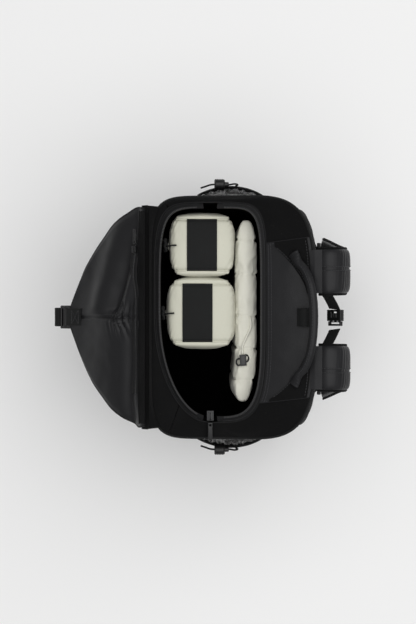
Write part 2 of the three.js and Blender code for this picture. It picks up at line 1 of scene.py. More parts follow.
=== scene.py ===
"""Dresses a flap-top backpack, standing open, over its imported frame.

Sizes are in millimetres and are laid out in metres. +Z is up, -Y is the front, towards which the
hood is folded, and +Y is the back, with the shoulder harness.
"""

import logging
from collections.abc import Callable, Sequence
from dataclasses import dataclass
from enum import Enum
from math import atan2, copysign, cos, dist, exp, pi, radians, sin, sqrt
from math import degrees as in_degrees

import bpy
import numpy as np
from mathutils import Matrix, Vector, noise

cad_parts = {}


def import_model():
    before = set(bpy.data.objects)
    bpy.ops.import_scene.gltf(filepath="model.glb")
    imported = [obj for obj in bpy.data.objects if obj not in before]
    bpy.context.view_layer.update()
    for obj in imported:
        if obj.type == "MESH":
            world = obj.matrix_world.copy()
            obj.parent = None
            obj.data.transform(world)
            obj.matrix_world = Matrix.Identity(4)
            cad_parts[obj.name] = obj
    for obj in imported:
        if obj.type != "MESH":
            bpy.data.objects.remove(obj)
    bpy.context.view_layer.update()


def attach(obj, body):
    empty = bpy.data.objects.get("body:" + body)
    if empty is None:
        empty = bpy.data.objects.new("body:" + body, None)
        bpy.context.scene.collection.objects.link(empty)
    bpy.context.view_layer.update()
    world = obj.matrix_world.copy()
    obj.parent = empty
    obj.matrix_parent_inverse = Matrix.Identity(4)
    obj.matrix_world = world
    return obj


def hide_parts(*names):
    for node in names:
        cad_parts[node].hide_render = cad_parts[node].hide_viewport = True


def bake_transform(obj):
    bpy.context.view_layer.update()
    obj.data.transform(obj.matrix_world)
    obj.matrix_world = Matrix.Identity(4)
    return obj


log = logging.getLogger("backpack")

MM = 0.001
Surface = Callable[[float, float], Vector]
Point = tuple[float, float, float]
Piece = bpy.types.Object
Socket = bpy.types.NodeSocket
UP, DOWN = Vector((0, 0, 1)), Vector((0, 0, -1))
SIDEWAYS = Vector((1, 0, 0))
HOOD_FACE = Vector((0, -0.7, 0.7))
UNTURNED = Matrix.Identity(3)

# The thickness of a coated panel with its foam and lining.
PANEL = 2.4

# How far an edge may turn and still look round: on cloth and cord, on webbing, and on cast pieces.
SOFT, FLAT, CRISP = 80.0, 50.0, 30.0

# The cloth simulation's stiffness and quality, and how many frames a piece swells for.
STIFFNESS, QUALITY, SWELLING = 20, 4, 16

# A fine stitch's length, its pitch and the thread's radius, on cloth and on the seams and tapes.
FINE = (2.2, 3.0, 0.3)
TAPE_STITCH = (2.2, 3.2, 0.3)
SEAM_STITCH = (2.4, 3.4, 0.3)


# ------------------------------------------------------------------ plain geometry


def mix(a: float, b: float, t: float) -> float:
    """The value a share t of the way from a to b."""
    return a + (b - a) * t


def clamp(value: float, low: float = 0.0, high: float = 1.0) -> float:
    """The value, kept between two limits."""
    return max(low, min(high, value))


def smooth(value: float, low: float, high: float) -> float:
    """0 below low and 1 above high, with a soft step between."""
    t = clamp((value - low) / (high - low))
    return t * t * (3 - 2 * t)


def bump(value: float, middle: float, reach: float) -> float:
    """A bell curve: 1 at the middle, fading out over a reach."""
    return exp(-(((value - middle) / reach) ** 2))


def signed_power(value: float, power: float) -> float:
    """The value's size to a power, with its own sign."""
    return copysign(abs(value) ** power, value)


def wander(x: float, y: float, z: float, size: float) -> float:
    """Smooth noise from about -1 to 1, whose lumps have the given size."""
    return noise.noise(Vector((x / size, y / size, z / size)))


def through(knots: Sequence[Sequence[float]], t: float) -> Vector:
    """A point on the centripetal Catmull-Rom curve through some knots.

    Args:
        knots: Points of three or more numbers each.
        t: Where on the curve, from 0 to 1, with an equal share for each stretch between knots.

    Returns:
        The point, with as many numbers as a knot.
    """
    points = [np.array(k, float) for k in knots]
    last = len(points) - 1
    place = clamp(t) * last
    i = min(int(place), last - 1)
    share = place - i
    p1, p2 = points[i], points[i + 1]
    p0 = points[i - 1] if i > 0 else 2 * p1 - p2
    p3 = points[i + 2] if i + 2 <= last else 2 * p2 - p1
    gaps = [max(np.linalg.norm((b - a)[:3]), 1e-6) ** 0.5 for a, b in ((p0, p1), (p1, p2), (p2, p3))]
    t1 = ((p1 - p0) / gaps[0] - (p2 - p0) / (gaps[0] + gaps[1]) + (p2 - p1) / gaps[1]) * gaps[1]
    t2 = ((p2 - p1) / gaps[1] - (p3 - p1) / (gaps[1] + gaps[2]) + (p3 - p2) / gaps[2]) * gaps[1]
    a, b = 2 * p1 - 2 * p2 + t1 + t2, -3 * p1 + 3 * p2 - 2 * t1 - t2
    return Vector(list(a * share**3 + b * share**2 + t1 * share + p1))


def span(low: float, high: float, count: int) -> list[float]:
    """Evenly stepped values from low to high, both included."""
    return [mix(low, high, k / count) for k in range(count + 1)]


def run(knots: Sequence[Sequence[float]], count: int) -> list[Vector]:
    """Evenly stepped points on the smooth curve through some knots."""
    return [through(knots, t) for t in span(0, 1, count)]


def about(axis: str, degrees: float) -> Matrix:
    """A turn about one of the axes."""
    return Matrix.Rotation(radians(degrees), 3, axis)


@dataclass(frozen=True)
class BodyPlan:
    """The bag's plan, a superellipse that is squarer at its front, and how it widens upwards."""

    half_width: float = 160.0
    centre_y: float = -4.0
    half_depth: float = 108.0
    front_power: float = 7.0
    back_power: float = 4.0
    base_inset: float = 5.0
    bulge: float = 5.0
    wall: float = 3.0
    rim_front: float = 394.0
    rim_back: float = 424.0

    def point(self, degrees: float, z: float, inset: float = 0.0) -> Vector:
        """A point on the plan.

        Args:
            degrees: 0 is +X and 90 the back.
            z: The height.
            inset: How far inside the outer face.

        Returns:
            The point.
        """
        angle = radians(degrees)
        share = min(z / self.rim_front, 1.0)
        narrowing = self.base_inset * (1 - share) - self.bulge * sin(pi * share) + inset
        back = sin(angle) > 0
        power = 2 / (self.back_power if back else self.front_power)
        depth = self.half_depth - (inset if back else narrowing)
        x = (self.half_width - narrowing) * signed_power(cos(angle), power)
        return Vector((x, self.centre_y + depth * signed_power(sin(angle), power), z))

    def even(self, degrees: float) -> float:
        """The angle on the squarer front half that steps along it evenly."""
        angle, squarer = radians(degrees), self.front_power / 4
        return in_degrees(atan2(signed_power(sin(angle), squarer),
                                       signed_power(cos(angle), squarer)))

    def rim(self, y: float) -> float:
        """The height of the walls' upper edge at a depth y."""
        return mix(self.rim_front, self.rim_back, smooth(y, -40, self.centre_y + self.half_depth))


@dataclass(frozen=True)
class MouthPlan:
    """The mouth's plan, squarer at its -X end, and the zip tape round it."""

    centre_x: float = -5.0
    centre_y: float = -33.0
    half_depth: float = 66.0
    reach_left: float = 139.0
    reach_right: float = 136.0
    front_powers: tuple[float, float] = (5.0, 2.0)
    back_powers: tuple[float, float] = (6.0, 4.0)
    tape: float = 8.0
    tape_edge: tuple[float, float] = (397.0, 407.0)
    coil_edge: tuple[float, float] = (403.0, 410.0)

    def towards(self, across: float, along: float, out: float, heights: tuple[float, float]) -> Vector:
        """The mouth's edge in a direction from its middle.

        Args:
            across: The direction's share of the reach along X.
            along: Its share of the half depth along Y.
            out: How far outside the mouth's edge.
            heights: The height at the front and at the back.

        Returns:
            The point.
        """
        power = (self.front_powers if along < 0 else self.back_powers)[0 if across < 0 else 1]
        size = (abs(across) ** power + abs(along) ** power) ** (1 / power)
        reach = (self.reach_left if across < 0 else self.reach_right) + out
        y = self.centre_y + (self.half_depth + out) * along / size
        height = mix(heights[0], heights[1], smooth(y, -90, 40))
        return Vector((self.centre_x + reach * across / size, y, height))

    def point(self, degrees: float, out: float, heights: tuple[float, float]) -> Vector:
        """A point round the mouth, at an angle where 0 is +X and 90 the back."""
        angle = radians(degrees)
        return self.towards(signed_power(cos(angle), 0.5), signed_power(sin(angle), 0.5),
                            out, heights)

    def facing(self, outer: Vector, out: float, heights: tuple[float, float]) -> Vector:
        """The mouth's edge nearest to a point of the body's edge."""
        reach = (self.reach_left if outer.x < self.centre_x else self.reach_right) + out
        across, along = (outer.x - self.centre_x) / reach, (outer.y - self.centre_y) / (self.half_depth + out)
        return self.towards(across, along, out, heights)


BODY = BodyPlan()
MOUTH = MouthPlan()


# ------------------------------------------------------------------ making meshes


def select_only(*objects: Piece) -> None:
    """Selects just these objects and makes the first one active."""
    bpy.ops.object.select_all(action="DESELECT")
    for each in objects:
        each.select_set(True)
    bpy.context.view_layer.objects.active = objects[0]


def apply_modifiers(piece: Piece) -> Piece:
    """Applies every modifier on a piece, in order."""
    select_only(piece)
    for modifier in list(piece.modifiers):
        bpy.ops.object.modifier_apply(modifier=modifier.name)
    return piece


def soften(piece: Piece, degrees: float = SOFT) -> Piece:
    """Shades a piece smooth, except over edges sharper than an angle."""
    select_only(piece)
    bpy.ops.object.shade_smooth_by_angle(angle=radians(degrees))
    return piece


def from_faces(name: str, points: Sequence[Vector], faces: list[tuple[int, ...]],
               uvs: Sequence[tuple[float, float]] | None = None) -> Piece:
    """A mesh object from points in millimetres.

    Args:
        name: The piece's name.
        points: Its points.
        faces: Its faces, as rows of point numbers.
        uvs: A place on the cloth for each corner of each face, in metres, in order.

    Returns:
        The new object.
    """
    mesh = bpy.data.meshes.new(name)
    mesh.from_pydata([tuple(p * MM) for p in points], [], faces)
    layer = mesh.uv_layers.new(name="UVMap")
    if uvs is not None:
        layer.data.foreach_set("uv", [value for pair in uvs for value in pair])
    mesh.update()
    piece = bpy.data.objects.new(name, mesh)
    bpy.context.scene.collection.objects.link(piece)
    return piece


def lay(name: str, at: Surface, nu: int, nv: int, size: tuple[float, float],
        around: bool = False, capped: bool = False) -> Piece:
    """A curved sheet, laid on a surface as a grid of faces.

    Args:
        name: The piece's name.
        at: The surface, for u and v from 0 to 1, in millimetres.
        nu: Faces along u.
        nv: Faces along v.
        size: The cloth's width along u and height along v in millimetres, for its weave.
        around: Whether u closes on itself.
        capped: Whether the ends of such a tube are filled.

    Returns:
        The new object.
    """
    columns = nu if around else nu + 1
    points = [at(i / nu, j / nv) for i in range(columns) for j in range(nv + 1)]
    faces, uvs = [], []
    for i in range(nu):
        for j in range(nv):
            k = (i + 1) % columns
            faces.append((i * (nv + 1) + j, k * (nv + 1) + j, k * (nv + 1) + j + 1, i * (nv + 1) + j + 1))
            for du, dv in ((i, j), (i + 1, j), (i + 1, j + 1), (i, j + 1)):
                uvs.append((du / nu * size[0] * MM, dv / nv * size[1] * MM))
    if capped:
        faces.append(tuple(i * (nv + 1) for i in range(nu)))
        faces.append(tuple(i * (nv + 1) + nv for i in reversed(range(nu))))
        uvs += [(0.0, 0.0)] * (2 * nu)
    return from_faces(name, points, faces, uvs)


def thicken(piece: Piece, thickness: float, offset: float = 0.0) -> Piece:
    """Gives a sheet a thickness in millimetres, centred on it unless an offset is given."""
    solid = piece.modifiers.new("Thickness", "SOLIDIFY")
    solid.thickness, solid.offset, solid.use_even_offset = thickness * MM, offset, True
    return apply_modifiers(piece)


def merge(piece: Piece, outwards: bool = True) -> Piece:
    """Merges doubled points and, unless told otherwise, turns every face outwards."""
    select_only(piece)
    bpy.ops.object.mode_set(mode="EDIT")
    bpy.ops.mesh.select_all(action="SELECT")
    bpy.ops.mesh.remove_doubles(threshold=1e-6)
    if outwards:
        bpy.ops.mesh.normals_make_consistent(inside=False)
    bpy.ops.object.mode_set(mode="OBJECT")
    return piece


def round_edges(piece: Piece, radius: float) -> Piece:
    """Rounds a moulded piece's sharp edges."""
    rounded = piece.modifiers.new("Rounded", "BEVEL")
    rounded.width, rounded.segments, rounded.limit_method = radius * MM, 3, "ANGLE"
    return soften(apply_modifiers(piece), 35)


def refine(piece: Piece) -> Piece:
    """Divides a soft piece's faces once more."""
    finer = piece.modifiers.new("Finer", "SUBSURF")
    finer.levels = finer.render_levels = 1
    return apply_modifiers(piece)


def tube(name: str, points: Sequence[Vector], lengths: Sequence[float], girth: Sequence[float],
         closed: bool = False) -> Piece:
    """A solid skinned over rings of points.

    Args:
        name: The piece's name.
        points: The rings' points, ring after ring.
        lengths: How far along the cloth each ring lies.
        girth: How far round the ring each of its points lies, the first again at the end.
        closed: Whether the last ring joins the first; the ends are filled if not.

    Returns:
        The new object.
    """
    n = len(girth) - 1
    count = len(points) // n
    faces, uvs = [], []
    for k in range(count if closed else count - 1):
        following = (k + 1) % count
        for j in range(n):
            m = (j + 1) % n
            faces.append((k * n + j, following * n + j, following * n + m, k * n + m))
            for a, b in ((k, j), (k + 1, j), (k + 1, j + 1), (k, j + 1)):
                uvs.append((lengths[a] * MM, girth[b] * MM))
    if not closed:
        faces += [tuple(range(n)), tuple(reversed(range((count - 1) * n, count * n)))]
        uvs += [(0.0, 0.0)] * (2 * n)
    return merge(from_faces(name, points, faces, uvs))


def sweep(name: str, path: Sequence[Vector], section: Callable[[float], list[tuple[float, float]]],
          side: Callable[[float], Vector] | Vector | None = None, closed: bool = False) -> Piece:
    """A solid drawn along a path.

    Args:
        name: The piece's name.
        path: The points that it follows.
        section: Its outline (along side, along the other way) at a share of the path.
        side: The way its width lies, all along or at a share of the path; left out, it doesn't twist.
        closed: Whether the path closes on itself.

    Returns:
        The new object.
    """
    count = len(path)
    tangents = []
    for k in range(count):
        if closed:
            tangents.append((path[(k + 1) % count] - path[k - 1]).normalized())
        else:
            tangents.append((path[min(k + 1, count - 1)] - path[max(k - 1, 0)]).normalized())
    across = tangents[0].orthogonal().normalized()
    points, run_length, lengths = [], 0.0, []
    for k in range(count):
        share = k / (count if closed else count - 1)
        across = side(share) if callable(side) else side or across
        across = (across - tangents[k] * across.dot(tangents[k])).normalized()
        other = tangents[k].cross(across)
        points += [path[k] + across * a + other * b for a, b in section(share)]
        lengths.append(run_length)
        run_length += (path[(k + 1) % count] - path[k]).length if k + 1 < count or closed else 0.0
    lengths.append(run_length)
    loop = section(0.5)
    girth = [0.0]
    for here, there in zip(loop, loop[1:] + loop[:1]):
        girth.append(girth[-1] + dist(here, there))
    return tube(name, points, lengths, girth, closed)


def ring(radius: float, sides: int = 10, squash: float = 1.0) -> list[tuple[float, float]]:
    """A round or oval outline."""
    turn = 2 * pi / sides
    return [(radius * cos(i * turn), radius * squash * sin(i * turn)) for i in range(sides)]


def strip(width: float, thickness: float) -> list[tuple[float, float]]:
    """The outline of webbing: flat faces, softly rounded edges and a fine selvedge."""
    w, t = width / 2, thickness / 2
    return [(-w, 0), (-w + t * 0.5, -t), (-w + 2 * t, -t * 1.1), (0, -t),
            (w - 2 * t, -t * 1.1), (w - t * 0.5, -t), (w, 0), (w - t * 0.5, t),
            (w - 2 * t, t * 1.1), (0, t), (-w + 2 * t, t * 1.1), (-w + t * 0.5, t)]


def cord(name: str, path: Sequence[Vector], radius: float, closed: bool = False) -> Piece:
    """A round cord or piping."""
    return sweep(name, path, lambda share: ring(radius), closed=closed)


def tape(name: str, path: Sequence[Vector], width: float, thickness: float,
         side: Callable[[float], Vector] | Vector) -> Piece:
    """Webbing along a path, its width lying along side."""
    return sweep(name, path, lambda share: strip(width, thickness), side)


def even(path: Sequence[Vector], pitch: float, up: Vector) -> list[tuple[Vector, Vector, Vector, Vector]]:
    """Points a fixed distance apart on a path, each with the ways along it, across it and up from it."""
    found, carried = [], pitch / 2
    for a, b in zip(path, path[1:]):
        length = (b - a).length
        while length > 1e-9 and carried < length:
            way = (b - a).normalized()
            across = up.cross(way).normalized()
            found.append((a.lerp(b, carried / length), way, across, way.cross(across).normalized()))
            carried += pitch
        carried -= length
    return found


def stitches(name: str, path: Sequence[Vector], up: Vector, length: float = 2.6, pitch: float = 3.8,
             radius: float = 0.38) -> Piece:
    """A row of sewn stitches, each a short thread that dips into the cloth at both ends."""
    points, faces = [], []
    for middle, way, across, rise in even(path, pitch, up):
        start = len(points)
        for share, lift in ((-0.5, -0.7), (-0.3, 0.25), (0.3, 0.25), (0.5, -0.7)):
            centre = middle + way * (length * share) + rise * (lift * radius)
            for j in range(5):
                turn = 2 * pi * j / 5
                points.append(centre + across * (radius * cos(turn)) + rise * (radius * sin(turn)))
        for k in range(3):
            for j in range(5):
                m = (j + 1) % 5
                corners = (k * 5 + j, k * 5 + m, (k + 1) * 5 + m, (k + 1) * 5 + j)
                faces.append(tuple(start + n for n in corners))
        faces.append(tuple(start + j for j in reversed(range(5))))
        faces.append(tuple(start + 15 + j for j in range(5)))
    return soften(merge(from_faces(name, points, faces)), 40)


def coil(name: str, path: Sequence[Vector], up: Vector, width: float = 3.0, pitch: float = 1.9) -> Piece:
    """A zip's coil: a row of small rounded teeth across a path."""
    points, faces = [], []
    outline = [(-0.5, -0.32), (-0.32, 0.42), (0.32, 0.42), (0.5, -0.32)]
    for middle, way, across, rise in even(path, pitch, up):
        start = len(points)
        for share in (-0.5, 0.5):
            for a, b in outline:
                points.append(middle + way * (share * pitch * 0.62) + across * (a * width)
                              + rise * (b * width * 0.55))
        faces += [tuple(start + n for n in row) for row in
                  ((0, 1, 2, 3), (7, 6, 5, 4), (0, 4, 5, 1), (1, 5, 6, 2), (2, 6, 7, 3), (3, 7, 4, 0))]
    return merge(from_faces(name, points, faces))


def slotted_plate(name: str, across: Sequence[float], along: Sequence[float],
                  openings: Sequence[tuple[int, int]], thickness: float, edge: float) -> Piece:
    """A moulded plate with openings: a grid whose lines are moved to their places, cut out and extruded.

    Args:
        name: The piece's name.
        across: The places of the grid's lines along X, in millimetres.
        along: The places of its lines along Y.
        openings: The cells, as (column, row), that are open.
        thickness: The plate's thickness.
        edge: The radius of its rounded edges.

    Returns:
        The new object, centred on the origin.
    """
    columns, rows = len(across) - 1, len(along) - 1
    bpy.ops.object.select_all(action="DESELECT")
    bpy.ops.mesh.primitive_grid_add(x_subdivisions=columns, y_subdivisions=rows, size=2)
    piece = bpy.context.object
    piece.name = piece.data.name = name
    for vertex in piece.data.vertices:
        i = round((vertex.co.x + 1) / 2 * columns)
        j = round((vertex.co.y + 1) / 2 * rows)
        vertex.co = Vector((across[i], along[j], -thickness / 2)) * MM
    bpy.ops.object.mode_set(mode="EDIT")
    bpy.ops.mesh.select_all(action="DESELECT")
    bpy.ops.object.mode_set(mode="OBJECT")
    middle = lambda lines, k: (lines[k] + lines[k + 1]) / 2
    gone = [Vector((middle(across, i), middle(along, j), -thickness / 2)) * MM for i, j in openings]
    for polygon in piece.data.polygons:
        polygon.select = any((polygon.center - place).length < 1e-6 for place in gone)
    bpy.ops.object.mode_set(mode="EDIT")
    bpy.ops.mesh.delete(type="FACE")
    bpy.ops.mesh.select_all(action="SELECT")
    bpy.ops.mesh.extrude_region_move(TRANSFORM_OT_translate={"value": (0, 0, thickness * MM)})
    bpy.ops.mesh.select_all(action="SELECT")
    bpy.ops.mesh.normals_make_consistent(inside=False)
    bpy.ops.object.mode_set(mode="OBJECT")
    return round_edges(piece, edge)


def moulded_block(name: str, size: Point, inset: float, rise: float, edge: float) -> Piece:
    """A moulded block whose upper face is inset and raised, or sunk, and whose edges are rounded.

    Args:
        name: The piece's name.
        size: Its width, depth and height in millimetres.
        inset: How far the raised face stands in from the edge.
        rise: How far it rises; below 0, it is sunk.
        edge: The radius of the rounded edges.

    Returns:
        The new object, centred on the origin.
    """
    bpy.ops.object.select_all(action="DESELECT")
    bpy.ops.mesh.primitive_cube_add(size=1)
    piece = bpy.context.object
    piece.name = piece.data.name = name
    for vertex in piece.data.vertices:
        vertex.co = Vector([c * s * MM for c, s in zip(vertex.co, size)])
    for polygon in piece.data.polygons:
        polygon.select = polygon.normal.z > 0.9
    bpy.ops.object.mode_set(mode="EDIT")
    bpy.ops.mesh.select_mode(type="FACE")
    bpy.ops.mesh.inset(thickness=inset * MM)
    bpy.ops.mesh.extrude_region_move(TRANSFORM_OT_translate={"value": (0, 0, rise * MM)})
    bpy.ops.object.mode_set(mode="OBJECT")
    return round_edges(piece, edge)


def twist(name: str, middle: Vector, reach: Point, radius: float, upright: bool = False) -> Piece:
    """A closed and twisted turn of cord.

    Args:
        name: The piece's name.
        middle: Its middle.
        reach: How far it reaches along X, Y and Z.
        radius: The cord's radius.
        upright: Whether it stands up, rather than lying flat.

    Returns:
        The new object.
    """
    turns = []
    for angle in (2 * pi * j / 36 for j in range(36)):
        once, twice = sin(angle), sin(2 * angle)
        y, z = (twice, once) if upright else (once, twice)
        turns.append(middle + Vector((reach[0] * cos(angle), reach[1] * y, reach[2] * z)))
    return cord(name, turns, radius, closed=True)


def turned(name: str, profile: Sequence[tuple[float, float]], sides: int = 32) -> Piece:
    """A turned piece: an outline (radius, height) spun round Z as a closed ring."""
    points = [Vector((r * cos(2 * pi * i / sides), r * sin(2 * pi * i / sides), z))
              for i in range(sides) for r, z in profile]
    n = len(profile)
    faces = [(i * n + j, ((i + 1) % sides) * n + j, ((i + 1) % sides) * n + (j + 1) % n, i * n + (j + 1) % n)
             for i in range(sides) for j in range(n)]
    return soften(merge(from_faces(name, points, faces)), CRISP)


def move(piece: Piece, turn: Matrix, place: Sequence[float]) -> Piece:
    """Turns a piece's mesh about the origin and moves it to a place in millimetres."""
    piece.data.transform(Matrix.Translation(Vector(place) * MM) @ turn.to_4x4())
    piece.data.update()
    return piece


def join(name: str, pieces: Sequence[Piece]) -> Piece:
    """Joins several objects into the first, and names it."""
    select_only(*pieces)
    bpy.ops.object.join()
    pieces[0].name = pieces[0].data.name = name
    return pieces[0]


def puff(piece: Piece, voxel: float, pressure: float, most: float) -> Piece:
    """Lets a stuffed piece swell as cloth under pressure, for a limited way.

    Args:
        piece: A closed mesh, a little smaller than the finished piece.
        voxel: The size of its remeshed faces in millimetres.
        pressure: How hard it swells.
        most: How far any point may move, in millimetres.

    Returns:
        The piece, with the swelling in its mesh.
    """
    select_only(piece)
    remesh = piece.modifiers.new("Remesh", "REMESH")
    remesh.mode, remesh.voxel_size = "VOXEL", voxel * MM
    apply_modifiers(piece)
    before = np.empty(len(piece.data.vertices) * 3)
    piece.data.vertices.foreach_get("co", before)
    cloth = piece.modifiers.new("Cloth", "CLOTH")
    cloth.settings.use_pressure = True
    cloth.settings.uniform_pressure_force = pressure
    cloth.settings.effector_weights.gravity = 0
    cloth.settings.tension_stiffness = cloth.settings.compression_stiffness = STIFFNESS
    cloth.settings.quality = QUALITY
    cloth.point_cache.frame_start, cloth.point_cache.frame_end = 1, SWELLING
    for frame_number in range(1, SWELLING + 1):
        bpy.context.scene.frame_set(frame_number)
    swollen = piece.evaluated_get(bpy.context.evaluated_depsgraph_get())
    after = np.empty(len(before))
    swollen.data.vertices.foreach_get("co", after)
    piece.modifiers.clear()
    way = (after - before).reshape(-1, 3)
    length = np.linalg.norm(way, axis=1, keepdims=True)
    way *= np.minimum(1, most * MM / np.maximum(length, 1e-9))
    piece.data.vertices.foreach_set("co", (before.reshape(-1, 3) + way).ravel())
    piece.data.update()
    bpy.context.scene.frame_set(1)
    return soften(piece)


# ------------------------------------------------------------------ finishes


class Pattern(Enum):
    """What a finish shows close up."""

    GRAIN = "grain"
    WEAVE = "weave"
    RIB = "rib"
    KNIT = "knit"
    TWILL = "twill"
    MOULDED = "moulded"


class Wiring:
    """Adds and joins the nodes of one tree."""

    def __init__(self, tree: bpy.types.NodeTree) -> None:
        """Works in a node tree, emptied first."""
        self.tree = tree
        tree.nodes.clear()

    def node(self, kind: str, **settings: object) -> bpy.types.Node:
        """A new node with some of its settings changed."""
        made = self.tree.nodes.new(kind)
        for name, value in settings.items():
            setattr(made, name, value)
        return made

    def feed(self, socket: Socket, value: object) -> None:
        """Joins another socket to this one, or sets it to a value."""
        if isinstance(value, Socket):
            self.tree.links.new(value, socket)
        else:
            socket.default_value = value

    def reckon(self, operation: str, a: object, b: object = 0.0, c: object = 0.0) -> Socket:
        """The result of a Math node."""
        made = self.node("ShaderNodeMath", operation=operation)
        for socket, value in zip(made.inputs, (a, b, c)):
            self.feed(socket, value)
        return made.outputs[0]

    def times(self, a: object, b: object) -> Socket:
        """The product of two values."""
        return self.reckon("MULTIPLY", a, b)

    def plus(self, a: object, b: object) -> Socket:
        """The sum of two values."""
        return self.reckon("ADD", a, b)

    def less(self, a: object, b: object) -> Socket:
        """The first value less the second."""
        return self.reckon("SUBTRACT", a, b)

    def noise(self, vector: object, scale: object, detail: float = 3.0) -> Socket:
        """The value of a Noise Texture."""
        made = self.node("ShaderNodeTexNoise")
        self.feed(made.inputs["Vector"], vector)
        self.feed(made.inputs["Scale"], scale)
        made.inputs["Detail"].default_value = detail
        return made.outputs["Fac"]

    def step(self, value: object, low: float, high: float) -> Socket:
        """A soft step of a value from 0 to 1."""
        made = self.node("ShaderNodeMapRange", interpolation_type="SMOOTHSTEP")
        self.feed(made.inputs["Value"], value)
        made.inputs["From Min"].default_value, made.inputs["From Max"].default_value = low, high
        return made.outputs["Result"]

    def blend(self, share: object, a: object, b: object) -> Socket:
        """The colour a share of the way from a to b."""
        made = self.node("ShaderNodeMix", data_type="RGBA")
        self.feed(made.inputs[0], share)
        self.feed(made.inputs[6], a)
        self.feed(made.inputs[7], b)
        return made.outputs[2]


class Effects:
    """The effects that several finishes share, each a shader node group built once."""

    def __init__(self) -> None:
        """Starts with no groups."""
        self.made: dict[str, bpy.types.NodeTree] = {}

    def start(self, name: str, inputs: Sequence[str],
              outputs: Sequence[str]) -> tuple[Wiring, dict, bpy.types.Node]:
        """A new group.

        Args:
            name: The group's name.
            inputs: Its number inputs, besides Vector.
            outputs: Its number outputs.

        Returns:
            Its wiring, its inputs by name, and its output node.
        """
        tree = bpy.data.node_groups.new(name, "ShaderNodeTree")
        wiring = Wiring(tree)
        tree.interface.new_socket("Vector", in_out="INPUT", socket_type="NodeSocketVector")
        for each in inputs:
            tree.interface.new_socket(each, in_out="INPUT", socket_type="NodeSocketFloat")
        for each in outputs:
            tree.interface.new_socket(each, in_out="OUTPUT", socket_type="NodeSocketFloat")
        entry = wiring.node("NodeGroupInput")
        self.made[name] = tree
        return wiring, {s.name: s for s in entry.outputs}, wiring.node("NodeGroupOutput")

    def threads(self, w: Wiring, given: dict) -> tuple[Socket, Socket]:
        """The vector's first two numbers, counted in threads."""
        parts = w.node("ShaderNodeSeparateXYZ")
        w.feed(parts.inputs[0], given["Vector"])
        return tuple(w.times(parts.outputs[k], given["Threads"]) for k in (0, 1))

    def wave(self, w: Wiring, value: object) -> Socket:
        """One rounded thread after another across a value."""
        return w.reckon("ABSOLUTE", w.reckon("SINE", w.times(value, pi)))

    def end(self, w: Wiring, out: bpy.types.Node, **values: Socket) -> bpy.types.NodeTree:
        """Feeds a group's outputs."""
        for name, value in values.items():
            w.feed(out.inputs[name], value)
        return w.tree

    def weave(self) -> bpy.types.NodeTree:
        """Plain weave: each thread goes over and under its neighbours."""
        w, given, out = self.start("weave", ["Threads"], ["Height", "Tone"])
        x, y = self.threads(w, given)
        cell = w.plus(w.reckon("FLOOR", x), w.reckon("FLOOR", y))
        parity = w.reckon("PINGPONG", cell, 1.0)
        warp, weft = self.wave(w, x), self.wave(w, y)
        under = w.times(weft, w.less(1.0, parity))
        height = w.plus(w.times(warp, parity), under)
        slub = w.noise(given["Vector"], 420.0, 2.0)
        return self.end(w, out, Height=height, Tone=w.times(w.plus(height, slub), 0.5))

    def rib(self) -> bpy.types.NodeTree:
        """Webbing: fine ribs along its length, with the weft showing between them."""
        w, given, out = self.start("rib", ["Threads"], ["Height", "Tone"])
        x, y = self.threads(w, given)
        ribs = self.wave(w, y)
        stagger = w.times(w.reckon("PINGPONG", w.reckon("FLOOR", y), 1.0), 0.5)
        picks = self.wave(w, w.plus(w.times(x, 0.8), stagger))
        height = w.times(ribs, w.reckon("MULTIPLY_ADD", picks, 0.45, 0.55))
        return self.end(w, out, Height=height, Tone=height)

    def twill(self) -> bpy.types.NodeTree:
        """Zip tape: a herringbone of slanted ribs."""
        w, given, out = self.start("twill", ["Threads"], ["Height", "Tone"])
        x, y = self.threads(w, given)
        turn = w.reckon("PINGPONG", w.times(y, 0.25), 1.0)
        height = self.wave(w, w.plus(x, w.times(turn, 4.0)))
        return self.end(w, out, Height=height, Tone=height)

    def knit(self) -> bpy.types.NodeTree:
        """Spacer mesh: staggered round holes in a smooth knit."""
        w, given, out = self.start("knit", ["Threads"], ["Height", "Tone"])
        x, y = self.threads(w, given)
        waves = [w.reckon("SINE", w.times(each, pi)) for each in (x, y)]
        hole = w.reckon("ABSOLUTE", w.times(*waves))
        height = w.less(1.0, w.step(hole, 0.35, 0.75))
        return self.end(w, out, Height=height, Tone=height)

    def grain(self) -> bpy.types.NodeTree:
        """The fine pebbled grain of coated cloth or moulded plastic."""
        w, given, out = self.start("grain", ["Threads"], ["Height", "Tone"])
        cells = w.node("ShaderNodeTexVoronoi", feature="SMOOTH_F1")
        w.feed(cells.inputs["Vector"], given["Vector"])
        w.feed(cells.inputs["Scale"], given["Threads"])
        pebble = w.step(cells.outputs["Distance"], 0.1, 0.7)
        fine = w.noise(given["Vector"], w.times(given["Threads"], 2.2))
        height = w.reckon("MULTIPLY_ADD", fine, 0.4, w.less(1.0, pebble))
        tone = w.noise(given["Vector"], w.times(given["Threads"], 0.03))
        return self.end(w, out, Height=height, Tone=tone)

    def crease(self) -> bpy.types.NodeTree:
        """Soft creases and handling marks: their height, and the clouding that goes with them."""
        w, given, out = self.start("crease", ["Size"], ["Height", "Cloud"])
        wide = w.noise(given["Vector"], given["Size"], 2.0)
        ridges = w.reckon("ABSOLUTE", w.less(wide, 0.5))
        fine = w.noise(given["Vector"], w.times(given["Size"], 3.4), 4.0)
        height = w.reckon("MULTIPLY_ADD", fine, 0.3, w.less(1.0, w.step(ridges, 0.0, 0.12)))
        cloud = w.step(w.noise(given["Vector"], w.times(given["Size"], 0.5)), 0.3, 0.7)
        return self.end(w, out, Height=height, Cloud=cloud)

